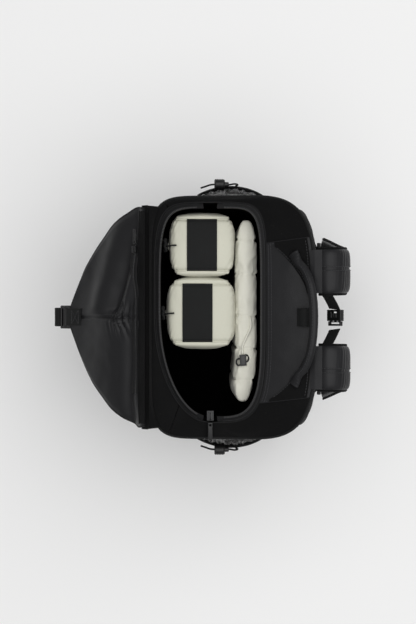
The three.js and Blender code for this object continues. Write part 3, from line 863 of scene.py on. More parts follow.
    def lint(self) -> bpy.types.NodeTree:
        """Sparse specks of lint and dust, and rubbed patches."""
        w, given, out = self.start("lint", ["Amount"], ["Specks", "Rubbed"])
        specks = w.noise(given["Vector"], 900.0, 1.0)
        patches = w.noise(given["Vector"], 16.0, 4.0)
        return self.end(w, out, Specks=w.times(w.step(specks, 0.74, 0.8), given["Amount"]),
                        Rubbed=w.times(w.step(patches, 0.52, 0.72), given["Amount"]))

    def use(self, w: Wiring, name: str, vector: object, value: float) -> bpy.types.Node:
        """Places a group in a material.

        Args:
            w: The material's wiring.
            name: The group's name, which is also its method's.
            vector: The coordinates that it reads.
            value: Its one number.

        Returns:
            The group's node.
        """
        tree = self.made.get(name) or getattr(self, name)()
        placed = w.node("ShaderNodeGroup", node_tree=tree)
        w.feed(placed.inputs[0], vector)
        placed.inputs[1].default_value = value
        return placed


# How dark the clouding between creases is, how far rubbing and lint show, and the lint's colour.
CLOUDED, RUBBED, SPECKLED = 0.82, 0.35, 0.5
LINT_COLOUR = (0.3, 0.29, 0.27, 1.0)


@dataclass(frozen=True)
class Finish:
    """One of the bag's materials."""

    slot: str
    colour: Point
    roughness: float
    pattern: Pattern
    threads: float
    depth: float
    contrast: float = 0.35
    crease: float = 0.0
    crease_size: float = 9.0
    sheen: float = 0.0
    specular: float = 0.4
    lint: float = 0.3
    metallic: float = 0.0
    alpha_holes: bool = False

    def build(self, name: str, effects: Effects) -> bpy.types.Material:
        """Makes the material.

        Args:
            name: The material's name.
            effects: The node groups that it draws on.

        Returns:
            The material.
        """
        material = bpy.data.materials.new(name)
        material.use_nodes = True
        w = Wiring(material.node_tree)
        places = w.node("ShaderNodeTexCoord")
        solid = places.outputs["Object"]
        flat = solid if self.pattern in (Pattern.GRAIN, Pattern.MOULDED) else places.outputs["UV"]
        group = "grain" if self.pattern is Pattern.MOULDED else self.pattern.value
        close = effects.use(w, group, flat, self.threads)
        folds = effects.use(w, "crease", solid, self.crease_size)
        dust = effects.use(w, "lint", solid, self.lint)
        shade = [c * (1 - self.contrast) for c in self.colour] + [1.0]
        full = list(self.colour) + [1.0]
        cloth = w.blend(close.outputs["Tone"], shade, full)
        cloud = w.times(folds.outputs["Cloud"], self.contrast * 0.5)
        cloth = w.blend(cloud, cloth, [c * CLOUDED for c in self.colour] + [1.0])
        pale = [min(c * 1.5 + 0.012, 0.9) for c in self.colour] + [1.0]
        cloth = w.blend(w.times(dust.outputs["Rubbed"], RUBBED), cloth, pale)
        cloth = w.blend(w.times(dust.outputs["Specks"], SPECKLED), cloth, LINT_COLOUR)
        shader = w.node("ShaderNodeBsdfPrincipled")
        w.feed(shader.inputs["Base Color"], cloth)
        rough = w.reckon("MULTIPLY_ADD", close.outputs["Tone"], -0.08, self.roughness + 0.04)
        w.feed(shader.inputs["Roughness"], w.reckon("MULTIPLY_ADD", dust.outputs["Rubbed"], 0.12, rough))
        shader.inputs["Metallic"].default_value = self.metallic
        shader.inputs["Specular IOR Level"].default_value = self.specular
        shader.inputs["Sheen Weight"].default_value = self.sheen
        shader.inputs["Sheen Roughness"].default_value = 0.45
        relief = w.node("ShaderNodeBump")
        relief.inputs["Distance"].default_value = self.depth * MM
        w.feed(relief.inputs["Height"], close.outputs["Height"])
        if self.crease:
            under = w.node("ShaderNodeBump")
            under.inputs["Distance"].default_value = self.crease * MM
            w.feed(under.inputs["Height"], folds.outputs["Height"])
            w.feed(relief.inputs["Normal"], under.outputs[0])
        w.feed(shader.inputs["Normal"], relief.outputs[0])
        if self.alpha_holes:
            w.feed(shader.inputs["Alpha"], w.step(close.outputs["Height"], 0.15, 0.3))
        out = w.node("ShaderNodeOutputMaterial")
        w.feed(out.inputs["Surface"], shader.outputs[0])
        return material


FINISHES = {
    "coated": Finish("coated_fabric", (0.0155, 0.0155, 0.0168), 0.4, Pattern.GRAIN, 900, 0.05, 0.25,
                     crease=0.6, sheen=0.02, specular=0.17, lint=0.2),
    "canvas": Finish("canvas", (0.0042, 0.0042, 0.0044), 0.85, Pattern.WEAVE, 1500, 0.12, 0.45,
                     crease=0.9, sheen=0.03, specular=0.12, lint=0.2),
    "air_mesh": Finish("air_mesh", (0.005, 0.005, 0.0055), 0.8, Pattern.KNIT, 420, 0.7, 0.7,
                       specular=0.22, sheen=0.05),
    "open_mesh": Finish("air_mesh", (0.012, 0.012, 0.013), 0.55, Pattern.KNIT, 380, 0.5, 0.6, specular=0.5,
                        alpha_holes=True),
    "webbing": Finish("webbing", (0.0075, 0.008, 0.008), 0.7, Pattern.RIB, 900, 0.22, 0.5,
                      specular=0.22, sheen=0.04),
    "zip_tape": Finish("zip_tape", (0.007, 0.007, 0.0075), 0.65, Pattern.TWILL, 1100, 0.1, 0.4,
                       specular=0.22),
    "coil": Finish("zip_tape", (0.009, 0.009, 0.01), 0.36, Pattern.MOULDED, 1400, 0.01, 0.2,
                   specular=0.35, lint=0.1),
    "plastic": Finish("black_plastic", (0.007, 0.007, 0.0075), 0.42, Pattern.MOULDED, 1900, 0.03, 0.3,
                      specular=0.5, lint=0.3),
    "metal": Finish("slider_metal", (0.03, 0.03, 0.031), 0.34, Pattern.MOULDED, 1200, 0.02, 0.3, specular=0.5,
                    metallic=0.7),
    "thread": Finish("webbing", (0.034, 0.034, 0.037), 0.55, Pattern.MOULDED, 2500, 0.02, 0.3, specular=0.4),
    "greige": Finish("greige_fabric", (0.575, 0.57, 0.475), 0.5, Pattern.WEAVE, 1700, 0.05, 0.12,
                     crease=0.7, crease_size=13, sheen=0.08, specular=0.35, lint=0.12),
    "ivory": Finish("ivory_fabric", (0.74, 0.73, 0.64), 0.72, Pattern.WEAVE, 1300, 0.08, 0.1,
                    crease=1.0, crease_size=22, sheen=0.15, specular=0.25, lint=0.1),
}


class Workshop:
    """Builds the finishes, and sets each finished piece on its body."""

    def __init__(self) -> None:
        """Builds every finish."""
        effects = Effects()
        self.materials = {name: finish.build(name, effects) for name, finish in FINISHES.items()}

    def dress(self, piece: Piece, finish: str) -> Piece:
        """Gives a piece its finish."""
        piece.data.materials.clear()
        piece.data.materials.append(self.materials[finish])
        return piece

    def place(self, piece: Piece, body: str, finish: str, *stands_for: str) -> Piece:
        """Dresses a piece and sets it on a body.

        Args:
            piece: The piece, with its place in its mesh.
            body: The CAD body that it rides on.
            finish: Its finish's name.
            stands_for: The CAD nodes that it replaces.

        Returns:
            The piece.
        """
        self.dress(piece, finish)
        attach(piece, body)
        if stands_for:
            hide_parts(*stands_for)
        log.info("%s on %s", piece.name, body)
        return piece


@dataclass
class Assembly:
    """A sub-assembly, made in the workshop."""

    shop: Workshop

    def sew(self, cloth: Piece, thickness: float, body: str, finish: str, *stands_for: str,
            angle: float = SOFT) -> Piece:
        """Gives a sheet its thickness, and sets it on its body.

        Args:
            cloth: The sheet.
            thickness: Its thickness.
            body: The CAD body that it rides on.
            finish: Its finish's name.
            stands_for: The CAD nodes that it replaces.
            angle: How far an edge may turn and still look round.

        Returns:
            The piece.
        """
        return self.shop.place(soften(thicken(cloth, thickness), angle), body, finish, *stands_for)


# ------------------------------------------------------------------ the bag's shell


class Side(Enum):
    """The bag's two sides, and which way each lies along X."""

    LEFT = -1
    RIGHT = 1

    @property
    def label(self) -> str:
        """The side's name in the names of pieces."""
        return self.name.lower()


@dataclass
class Shell(Assembly):
    """The walls, the base and the piping along their seams."""

    tray_height: float = 34.0
    edge_radius: float = 16.0
    piping: float = 1.5
    seams: tuple[float, ...] = (38.0, 142.0, 218.0, 322.0)

    def wall(self, name: str, start: float, end: float, width: float, slack: float, finish: str) -> None:
        """Sews in one wall, with soft hollows where it hangs slack.

        Args:
            name: The CAD node that it stands for.
            start: The angle of its first seam.
            end: The angle of its second seam.
            width: Its width as cloth.
            slack: How far its lumps stand out.
            finish: Its finish.
        """

        def at(u: float, v: float) -> Vector:
            degrees = mix(start, end, u)
            top = BODY.rim(BODY.point(degrees, BODY.rim_front).y)
            z = mix(self.tray_height + 0.4, top, v)
            held = 1 - (2 * u - 1) ** 8
            loose = slack * held * (1 + wander(degrees * 2.4, z, start, 62)) * sin(pi * v) ** 0.5
            pleats = 1 + sin(u * 41 + 3 * wander(u * 9, 0, start, 1))
            loose += 0.5 * slack * held * bump(v, 0.0, 0.12) * pleats
            return BODY.point(degrees, z, 1.5 - loose)

        self.sew(lay(name + "_cloth", at, 110, 90, (width, 380)), PANEL, "casing", finish, name)

    def base(self) -> None:
        """Moulds the base: a flat underside, a rounded edge and a low upstand."""

        def at(u: float, v: float) -> Vector:
            degrees = 360 * u
            if v < 0.35:
                rim = BODY.point(degrees, self.tray_height, self.edge_radius)
                share = v / 0.35
                return Vector((rim.x * share, BODY.centre_y + (rim.y - BODY.centre_y) * share, 1.5))
            if v < 0.7:
                turn = (v - 0.35) / 0.35 * pi / 2
                inset = mix(self.edge_radius, 1.5, sin(turn))
                height = mix(1.5, self.edge_radius, 1 - cos(turn))
                return Vector((*BODY.point(degrees, self.tray_height, inset).xy, height))
            height = mix(self.edge_radius, self.tray_height, (v - 0.7) / 0.3)
            swell = 0.5 * sin(pi * (v - 0.7) / 0.3)
            return Vector((*BODY.point(degrees, self.tray_height, 1.5 - swell).xy, height))

        piece = lay("base_cloth", at, 240, 48, (830, 170), around=True)
        self.sew(merge(piece, outwards=False), 3.0, "casing", "canvas", "base_tray", angle=60)

    def pipings(self) -> None:
        """Lays corded piping up the four corner seams, round the base and round the rim."""
        cords = []
        for degrees in self.seams:
            top = BODY.rim(BODY.point(degrees, BODY.rim_front).y)
            path = [BODY.point(degrees, z, -0.7) for z in span(self.tray_height, top + 1, 60)]
            cords.append(cord(f"corner_piping_{degrees:.0f}", path, self.piping))
        low = [BODY.point(360 * k / 240, self.tray_height + 0.2, -0.5) for k in range(240)]
        cords.append(cord("base_piping", low, self.piping, closed=True))
        high = []
        for k in range(280):
            place = BODY.point(360 * k / 280, BODY.rim_front, -0.2)
            high.append(Vector((place.x, place.y, BODY.rim(place.y) + 1.4)))
        cords.append(cord("rim_piping", high, 1.7, closed=True))
        self.shop.place(soften(join("shell_piping", cords)), "casing", "webbing")

    def build(self) -> None:
        """Builds the shell."""
        self.wall("front_wall", 218.2, 321.8, 330, 1.6, "coated")
        self.wall("side_wall_left", 142.2, 217.8, 190, 1.2, "coated")
        self.wall("side_wall_right", -37.8, 37.8, 190, 1.2, "coated")
        self.wall("back_wall", 38.2, 141.8, 330, 0.3, "canvas")
        self.base()
        self.pipings()


@dataclass
class Deck(Assembly):
    """The top round the mouth: yoke, gussets, front rim, zip tapes and coils, and the sewn-on pieces."""

    yoke_left: tuple[float, float] = (116.0, 112.0)
    yoke_right: tuple[float, float] = (64.0, 48.0)
    front_left: tuple[float, float] = (210.0, 210.8)
    front_right: tuple[float, float] = (-25.0, -22.6)

    def surface(self, start: tuple[float, float], end: tuple[float, float], crown: float,
                lumps: float = 0.0) -> Surface:
        """The deck's middle surface between two seams.

        Args:
            start: The first seam's angles, at the wall and at the tape, or at the wall alone.
            end: The second seam's.
            crown: How far it rises between the wall and the tape.
            lumps: How far its folds rise.

        Returns:
            The surface; v runs from the wall to the tape.
        """

        def at(u: float, v: float) -> Vector:
            degrees = mix(start[0], end[0], u)
            paired = len(start) > 1
            outer = BODY.point(degrees if paired else BODY.even(degrees), BODY.rim_front, 1.5)
            outer.z = BODY.rim(outer.y) + 2.3
            if paired:
                inner = MOUTH.point(mix(start[1], end[1], u), MOUTH.tape + 0.6, MOUTH.tape_edge)
            else:
                inner = MOUTH.facing(outer, MOUTH.tape + 0.6, MOUTH.tape_edge)
            place = outer.lerp(inner, v)
            rise = crown * sin(pi * v)
            if lumps:
                fold = wander(place.x * 1.6, place.y * 0.7, start[0], 26)
                fold += 0.5 * wander(place.x, place.y, 7, 11)
                rise += lumps * fold * sin(pi * v) ** 0.6 * sin(pi * u) ** 0.4
            place.z += rise
            return place

        return at

    def above(self, wall: float, mouth: float, v: float, lift: float) -> Vector:
        """A point over the deck, from its wall and tape angles and a share of the way between."""
        outer = BODY.point(wall, BODY.rim_front, 1.5)
        outer.z = BODY.rim(outer.y)
        place = outer.lerp(MOUTH.point(mouth, MOUTH.tape, MOUTH.tape_edge), v)
        place.z += 3.4 + 2 * sin(pi * v) + lift
        return place

    def panels(self) -> None:
        """Sews in the yoke, the two gussets and the front rim."""
        plans = (
            ("yoke_panel", self.yoke_right, self.yoke_left, 2.6, 0.5, "coated", 130, 50, (220, 70)),
            ("gusset_left", self.yoke_left, self.front_left, 2.0, 1.8, "canvas", 130, 36, (230, 50)),
            ("gusset_right", self.front_right, self.yoke_right, 2.0, 1.8, "canvas", 130, 40, (230, 60)),
            ("front_rim_panel", (216.6,), (326.8,), 0.8, 0.2, "canvas", 180, 8, (300, 10)),
        )
        for name, start, end, crown, lumps, finish, nu, nv, size in plans:
            cloth = lay(name + "_cloth", self.surface(start, end, crown, lumps), nu, nv, size)
            self.sew(cloth, PANEL, "casing", finish, name)

    def tapes(self) -> None:
        """Sews in both halves of the mouth's zip, tape and coil."""
        for name, start, end in (("front", 181.0, 359.0), ("back", 1.0, 179.0)):

            def at(u: float, v: float) -> Vector:
                degrees = mix(start, end, u)
                place = MOUTH.point(degrees, MOUTH.tape, MOUTH.tape_edge)
                place = place.lerp(MOUTH.point(degrees, 0, MOUTH.coil_edge), v)
                place.z += 0.5 * sin(pi * v) + 0.25 * wander(degrees, v, 3, 5)
                return place

            cloth = lay(f"zip_tape_{name}_cloth", at, 200, 8, (420, 10))
            self.sew(cloth, 1.1, "casing", "zip_tape", f"zip_tape_{name}")
            path = [MOUTH.point(angle, 1.4, MOUTH.coil_edge) + UP * 0.9
                    for angle in span(start + 3, end - 3, 240)]
            teeth = coil(f"zip_coil_{name}", path, UP)
            self.shop.place(soften(teeth, CRISP), "casing", "coil")

    def sewing(self) -> None:
        """Runs the visible stitching along the yoke, its seams and the tapes."""
        yoke, lift = self.surface(self.yoke_right, self.yoke_left, 2.6), UP * 1.35
        paths = [[yoke(u, v) + lift for u in span(0.015, 0.985, 160)] for v in (0.955, 0.9)]
        paths += [[yoke(u, v) + lift for v in span(0.05, 0.93, 60)] for u in (0.012, 0.988)]
        rows = [stitches(f"yoke_stitches_{k}", path, UP) for k, path in enumerate(paths)]
        for start, end, name in ((183.0, 357.0, "front"), (3.0, 177.0, "back")):
            path = []
            for angle in span(start, end, 200):
                low = MOUTH.point(angle, MOUTH.tape, MOUTH.tape_edge)
                path.append(low.lerp(MOUTH.point(angle, 0, MOUTH.coil_edge), 0.22) + UP * 0.75)
            rows.append(stitches(f"tape_stitches_{name}", path, UP, *TAPE_STITCH))
        self.shop.place(join("deck_stitching", rows), "casing", "thread")
        bindings = []
        for corner, name in ((self.yoke_left, "left"), (self.yoke_right, "right")):
            seam = self.surface(corner, corner, 2.4)
            path = [seam(0.0, v) + UP for v in span(0.03, 0.98, 40)]
            bindings.append(cord(f"yoke_welt_{name}", path, 0.9))
        lip = [MOUTH.point(360 * k / 300, MOUTH.tape + 0.4, MOUTH.tape_edge) + UP * 1.3 for k in range(300)]
        self.shop.place(soften(join("deck_welts", bindings)), "casing", "coated")
        self.shop.place(soften(cord("mouth_welt", lip, 0.9, closed=True)), "casing", "zip_tape")

    def patches(self) -> None:
        """Sews the dark patches that carry the handle, and the hook's keeper."""
        for side, corner, sign in ((Side.LEFT, self.yoke_left, 1), (Side.RIGHT, self.yoke_right, -1)):

            def at(u: float, v: float) -> Vector:
                back = 25 * sign * (1 - v * 0.9) * u
                place = self.above(corner[0] - back, corner[1] - back, mix(0.06, 0.8, v), 1.2)
                place.z += 0.5 * wander(place.x, place.y, 2, 12)
                return place

            name = f"handle_patch_{side.label}"
            self.sew(lay(name + "_cloth", at, 44, 44, (45, 60)), 1.2, "casing", "canvas", name)
            edge = [at(u, 0.06) for u in span(0.06, 0.94, 30)]
            edge += [at(0.94, v) for v in span(0.06, 0.93, 30)[1:]]
            row = stitches(f"patch_stitches_{side.label}", [p + UP * 0.75 for p in edge], UP)
            self.shop.place(row, "casing", "thread")
        arch = run([(0, 81.5, 424.2), (0, 84.5, 431), (0, 90, 434.5), (0, 95.5, 433.5), (0, 99.5, 428.8)], 40)
        loop = tape("hook_keeper_webbing", arch, 24, 1.4, SIDEWAYS)
        self.shop.place(soften(loop, FLAT), "casing", "webbing", "hook_keeper")

    def build(self) -> None:
        """Builds the deck."""
        self.panels()
        self.tapes()
        self.sewing()
        self.patches()


@dataclass
class BackPads(Assembly):
    """The two ribbed air-mesh pads against the wearer's back."""

    thickness: float = 7.0
    rib_pitch: float = 17.0

    def pad(self, name: str, start: float, end: float, slant: float) -> None:
        """Builds one pad.

        Args:
            name: The CAD node that it stands for.
            start: The angle of its first edge.
            end: The angle of its second edge.
            slant: Which way its ribs slant.
        """
        nu, nv = 90, 150
        width, height, low = 130, 350, 52

        def face(u: float, v: float, outer: bool) -> Vector:
            degrees, z = mix(start, end, u), mix(low, low + height, v)
            fullness = max(0.0, (1 - (2 * u - 1) ** 6) * (1 - (2 * v - 1) ** 14)) ** 0.5
            if not outer:
                return BODY.point(degrees, z, -0.6)
            along = BODY.point(degrees, z).x * slant + z * 0.6
            rib = abs(sin(pi * along / self.rib_pitch)) ** 0.6
            return BODY.point(degrees, z, -0.7 - fullness * (self.thickness - 2.4 + 2.4 * rib))

        points, faces, uvs = [], [], []
        for outer in (True, False):
            points += [face(i / nu, j / nv, outer) for i in range(nu + 1) for j in range(nv + 1)]
        half = (nu + 1) * (nv + 1)
        for layer in (0, half):
            for i in range(nu):
                for j in range(nv):
                    a = layer + i * (nv + 1) + j
                    face_points = [a, a + nv + 1, a + nv + 2, a + 1]
                    corners = [(i, j), (i + 1, j), (i + 1, j + 1), (i, j + 1)]
                    if not layer:
                        face_points[1:] = reversed(face_points[1:])
                        corners[1:] = reversed(corners[1:])
                    faces.append(tuple(face_points))
                    uvs += [(p / nu * width * MM, q / nv * height * MM) for p, q in corners]
        rim = [(i, 0) for i in range(nu)] + [(nu, j) for j in range(nv)]
        rim += [(i, nv) for i in range(nu, 0, -1)] + [(0, j) for j in range(nv, 0, -1)]
        for (i, j), (p, q) in zip(rim, rim[1:] + rim[:1]):
            a, b = i * (nv + 1) + j, p * (nv + 1) + q
            faces.append((a, b, half + b, half + a))
            uvs += [(0.0, 0.0)] * 4
        piece = soften(merge(from_faces(name + "_foam", points, faces, uvs)), 60)
        self.shop.place(piece, "casing", "air_mesh", name)
        edge = [face(i / nu, j / nv, False) for i, j in rim]
        centre = sum(edge, Vector()) / len(edge)
        edge = [p + (centre - p).normalized() * -0.6 + Vector((0, 1.2, 0)) for p in edge]
        self.shop.place(soften(cord(name + "_binding", edge, 1.5, closed=True)), "casing", "webbing")

    def build(self) -> None:
        """Builds both pads."""
        self.pad("back_pad_right", 38, 86.5, 0.9)
        self.pad("back_pad_left", 93.5, 142, -0.9)


@dataclass
class SidePocket(Assembly):
    """An open-mesh side pocket with an elastic cord and its lock."""

    side: Side
    front: float = -60.0
    back: float = 52.0
    low: float = 44.0
    high: float = 232.0
    depth: float = 20.0
    lock_y: float = -19.0

    def reach(self, y: float, z: float) -> float:
        """How far the side wall stands from the middle."""
        level = BODY.point(0, z).x
        share = min(abs((y - BODY.centre_y) / BODY.half_depth), 1.0)
        power = BODY.back_power if y > BODY.centre_y else BODY.front_power
        return level * (1 - share**power) ** (1 / power)

    def point(self, u: float, v: float, out: float = 0.0) -> Vector:
        """A point on the pocket: u runs backwards and v upwards."""
        y, z = mix(self.front, self.back, u), mix(self.low, self.high, v)
        swell = self.depth * sqrt(v) * sin(pi * clamp(u)) ** 0.7
        return Vector((self.side.value * (self.reach(y, z) + 1.4 + swell + out), y, z))

    def cloth(self) -> None:
        """Sews the mesh pocket with gathers under its hem, and binds its edges."""

        def at(u: float, v: float) -> Vector:
            gather = 1.3 * smooth(v, 0.72, 1.0) * sin(58 * u + 2 * wander(u * 8, 0, 1, 1))
            slack = 1.2 * wander(u * 120, v * 180, self.side.value, 34) * sin(pi * u)
            return self.point(u, v, (gather + slack) * sin(pi * u) ** 0.5)

        node = f"pocket_{self.side.label}"
        net = lay(node + "_net", at, 120, 90, (150, 190))
        piece = self.sew(net, 0.7, "casing", "open_mesh", node)
        hem = [at(u, 0.965) + SIDEWAYS * (self.side.value * 0.2) for u in span(0, 1, 120)]
        band = tape(f"pocket_hem_{self.side.label}", hem, 13, 2.0, UP)
        edges = [[at(u, v) for v in span(0, 1, 40)] for u in (0, 1)]
        cords = [cord(f"pocket_edge_{n}_{self.side.label}", path, 1.3) for n, path in enumerate(edges)]
        binding = join(f"pocket_binding_{self.side.label}", [band, *cords])
        self.shop.place(soften(binding), "casing", "webbing")

    def elastic(self) -> None:
        """Threads the elastic cord along the hem, with a loop up through the lock."""
        path = [self.point(k / 60, 1, 0.4) + UP * 3.2 for k in range(5, 56)]
        piece = cord(f"elastic_{self.side.label}", path, 1.7)
        rim = self.point((self.lock_y - self.front) / (self.back - self.front), 1, 0.4)
        s = self.side.value
        x, z = rim.x + s * 4, self.high + 13
        loop = run([(rim.x, -46, 235.2), (x - s * 2, -39, 240), (x, -31, z), (x, -6, z),
                    (x + s, 2, z + 1), (x, 6, z - 3), (x - s * 2, 3, z - 6)], 60)
        tail = cord(f"elastic_tail_{self.side.label}", loop, 1.3)
        whole = soften(join(f"elastic_cord_{self.side.label}", [piece, tail]))
        self.shop.place(whole, "casing", "webbing", f"pocket_bungee_{self.side.label}")
        self.lock(x, z)

    def lock(self, x: float, z: float) -> None:
        """Turns the cord lock: a ribbed barrel and its sprung button."""
        label = self.side.label
        start = self.lock_y - 8
        aim = about("X", -90)
        outline = [(4.2, 0.3), (4.5, 0), (6.6, 0), (7.6, 0.9)]
        for k in range(5):
            base = 1.6 + k * 2.3
            outline += [(8.0, base), (8.0, base + 1.3), (7.5, base + 1.5), (7.5, base + 2.1)]
        outline += [(7.8, 13.2), (6.6, 14.8), (4.5, 15), (4.2, 14.7)]
        barrel = move(turned(f"cord_lock_barrel_{label}", outline), aim, (x, start, z))
        self.shop.place(barrel, f"cord_lock_{label}", "plastic", f"cord_lock_body_{label}")
        cap = [(0.02, 9.5), (3.6, 9.5), (3.8, 9.8), (3.8, 19.2), (3.4, 20.1), (2.6, 20.5), (1.2, 20.3),
               (0.02, 20.2)]
        button = move(turned(f"cord_lock_cap_{label}", cap), aim, (x, start, z))
        self.shop.place(button, f"cord_button_{label}", "plastic", f"cord_lock_button_{label}")

    def build(self) -> None:
        """Builds the pocket."""
        self.cloth()
        self.elastic()


# ------------------------------------------------------------------ hood


@dataclass
class Hood(Assembly):
    """The hood, thrown open to the front, with its inner pocket zip and its closing strap."""

    hinge_y: float = -118.0
    hinge_z: float = 410.0
    slope: float = 45.0
    thickness: float = 3.0
    zip_s: float = 17.0
    zip_half: float = 102.0
    tip_lock: float = 163.0
    strap_width: float = 26.0
    outline: tuple[tuple[float, float], ...] = (
        (4, 143), (22, 145), (41, 137), (62, 125), (82, 108), (102, 89), (124, 62), (145, 28), (152, 14))

    def point(self, x: float, s: float, lift: float = 0.0) -> Vector:
        """A point on the flat hood: x along the hinge, s down the panel, lift out of its upper face."""
        turn = radians(self.slope)
        return Vector((x, self.hinge_y - s * cos(turn) - lift * sin(turn),
                       self.hinge_z - s * sin(turn) + lift * cos(turn)))

    def edge(self, v: float) -> tuple[float, float]:
        """The outline's (distance from the hinge, half width) at a share of the way to the tip."""
        place = through([(half, s, 0) for s, half in self.outline], v)
        return place.y, place.x

    def relief(self, x: float, s: float) -> float:
        """How far the cloth stands above the flat hood.

        The left half has a roll and a hollow that slant from its shoulder to the pucker in the seam;
        the right half is full, with one long soft hollow beside the zip.

        Args:
            x: The place along the hinge.
            s: The place down the panel.

        Returns:
            The height, which fades out at the hinge and at the tip.
        """
        wide = clamp(1 - (abs(x) / 152) ** 3)
        left, right = smooth(-x, -8, 14), smooth(x, -14, 8)
        fold = 66 - 0.4 * abs(x)
        near = 0.3 + 0.7 * bump(abs(x), 34, 60)
        hollow = -9.0 * bump(s, fold, 12 - 0.03 * abs(x)) * left * near
        roll = 6.5 * bump(s, fold - 24, 10) * left * near
        shoulder = 7.0 * bump(s, fold + 30, 20) * left * wide
        gutter = -6.0 * bump(s, 27 + 0.04 * x, 9) * right * smooth(x, 4, 30)
        belly = 6.5 * bump(s, 72, 40) * right * wide
        soft = 1.4 * wander(x, s, 4, 46) + 0.5 * wander(x, s, 9, 19)
        teeth = bump(s, 43, 15) * bump(x, 0, 17)
        pucker = 4.2 * teeth * sin(s * 0.72 + 0.2 * abs(x))
        drawn = -2.6 * bump(x, 0, 3.2) * smooth(s, 8, 24)
        droop = -5.0 * smooth(abs(x), 108, 148) * bump(s, 34, 30)
        whole = hollow + roll + shoulder + gutter + belly + soft + pucker + drawn + droop
        return whole * smooth(s, 6, 20) * (1 - smooth(s, 134, 152))

    def on_cloth(self, x: float, s: float, lift: float) -> Vector:
        """A point over the hood's cloth."""
        return self.point(x, s, self.relief(x, s) + lift)

    def zigzag(self, s: float) -> float:
        """How far the gathered middle seam wanders aside."""
        return 3.0 * bump(s, 43, 14) * sin(s * 0.72)

    def halves(self) -> None:
        """Sews the two halves together down the middle, and binds the edge."""
        for side in Side:

            def at(u: float, v: float) -> Vector:
                s, half = self.edge(v)
                zigzag = self.zigzag(s)
                x = side.value * mix(0.1, half, u) + zigzag * (1 - u) ** 6
                return self.on_cloth(x, s, -1.2 * smooth(u, 0.93, 1.0))

            node = f"hood_half_{side.label}"
            self.sew(lay(node + "_cloth", at, 90, 130, (145, 180)), self.thickness, "hood", "coated", node)
        rim = []
        for side, shares in ((-1, range(121)), (1, range(120, -1, -1))):
            for k in shares:
                s, half = self.edge(k / 120)
                rim.append(self.point(side * (half + 0.2), s, self.relief(side * half, s) - 1.2))
        binding = cord("hood_binding", rim, 1.7)
        self.shop.place(soften(binding), "hood", "webbing")
        rows = []
        for side in Side:
            line = [(side.value * 3.2 + self.zigzag(s), s) for s in span(8, 146, 110)]
            path = [self.on_cloth(x, s, self.thickness / 2 + 0.1) for x, s in line]
            rows.append(stitches(f"hood_seam_{side.label}", path, HOOD_FACE, *SEAM_STITCH))
        self.shop.place(join("hood_stitching", rows), "hood", "thread")

    def root(self) -> None:
        """Sews the soft root that the hood hinges on, the band over it, and the gusset to the lip."""
        ends = (223.5, 316.5)
        (low_v, low_y, low_z), (high_v, high_y, high_z) = (0.62, -115.6, 400.0), (0.8, -116.6, 406.4)

        def at(u: float, v: float) -> Vector:
            foot = BODY.point(BODY.even(mix(*ends, u)), 374, -1.2)
            if v < low_v:
                place = foot.lerp(Vector((foot.x, low_y, low_z)), v / low_v)
            elif v < high_v:
                share = (v - low_v) / (high_v - low_v)
                place = Vector((foot.x, mix(low_y, high_y, share), mix(low_z, high_z, share)))
            else:
                place = self.point(foot.x, mix(0.5, 11, (v - high_v) / (1 - high_v)), -3.0)
            place.y += 0.8 * wander(foot.x, v * 30, 5, 18) * sin(pi * v)
            return place

        strip_cloth = lay("hood_root_cloth", at, 160, 30, (300, 48))
        piece = soften(thicken(strip_cloth, 1.2))
        self.shop.dress(piece, "canvas")
        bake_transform(piece)
        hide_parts("hood_root_strip")

        def lip(u: float, v: float) -> Vector:
            outer = BODY.point(BODY.even(mix(*ends, u)), BODY.rim_front, 0.6)
            outer.z = BODY.rim(outer.y) + 3.9
            place = outer.lerp(Vector((outer.x, min(outer.y, -112.2) - 2.6, 406.2)), v)
            arch = sin(pi * v)
            place.z += 1.6 * arch + 0.5 * wander(outer.x, v * 9, 6, 22) * arch
            return place

        self.sew(lay("hood_lip_gusset", lip, 160, 12, (300, 14)), 1.2, "casing", "canvas")

        def over(u: float, v: float) -> Vector:
            x, s = mix(-140.5, 140.5, u), mix(0.6, 11.0, v)
            return self.on_cloth(x, s, self.thickness / 2 + 0.8 + 0.4 * wander(x, s, 8, 14))

        self.sew(lay("hood_root_band", over, 150, 8, (283, 11)), 1.0, "hood", "canvas")
        welts = []
        for s, lift, radius in ((11.4, 2.6, 0.9), (1.2, 2.0, 1.2)):
            path = [self.on_cloth(x, s, lift) for x in span(-141, 141, 120)]
            welts.append(cord(f"hood_welt_{s:.0f}", path, radius))
        self.shop.place(soften(join("hood_root_welts", welts)), "hood", "canvas")

    def zip(self) -> None:
        """Sews in the inner pocket's zip, with its slider and pull."""
        turn = about("X", self.slope)

        half, s = self.zip_half, self.zip_s
        path = [self.point(x, s, self.relief(x, s) * 0.9 + 2.2) for x in span(-half, half, 120)]
        band = tape("hood_zip_cloth", path, 13, 0.9, Vector((0, 0.7, 0.7)))
        self.shop.place(soften(band, FLAT), "hood", "zip_tape", "hood_zip_tape")
        teeth = coil("hood_zip_coil", [p + Vector((0, -0.6, 0.6)) for p in path], HOOD_FACE, 3.4)
        self.shop.place(soften(teeth, CRISP), "hood", "coil")
        slider = moulded_block("hood_slider_body", (9, 7, 2.6), 1.3, 0.9, 0.6)
        move(slider, turn, self.point(-90, s, 5.0))
        self.shop.place(slider, "hood_slider", "metal", "hood_slider")
        pull = slotted_plate("hood_pull_tab", (-10, -8.4, -5.8, 10), (-2.6, -1.1, 1.1, 2.6), ((1, 1),),
                             1.6, 0.5)
        move(pull, turn @ about("Z", 180), self.point(-107, s, 5.2))
        self.shop.place(pull, "hood_pull", "plastic", "hood_zip_pull")

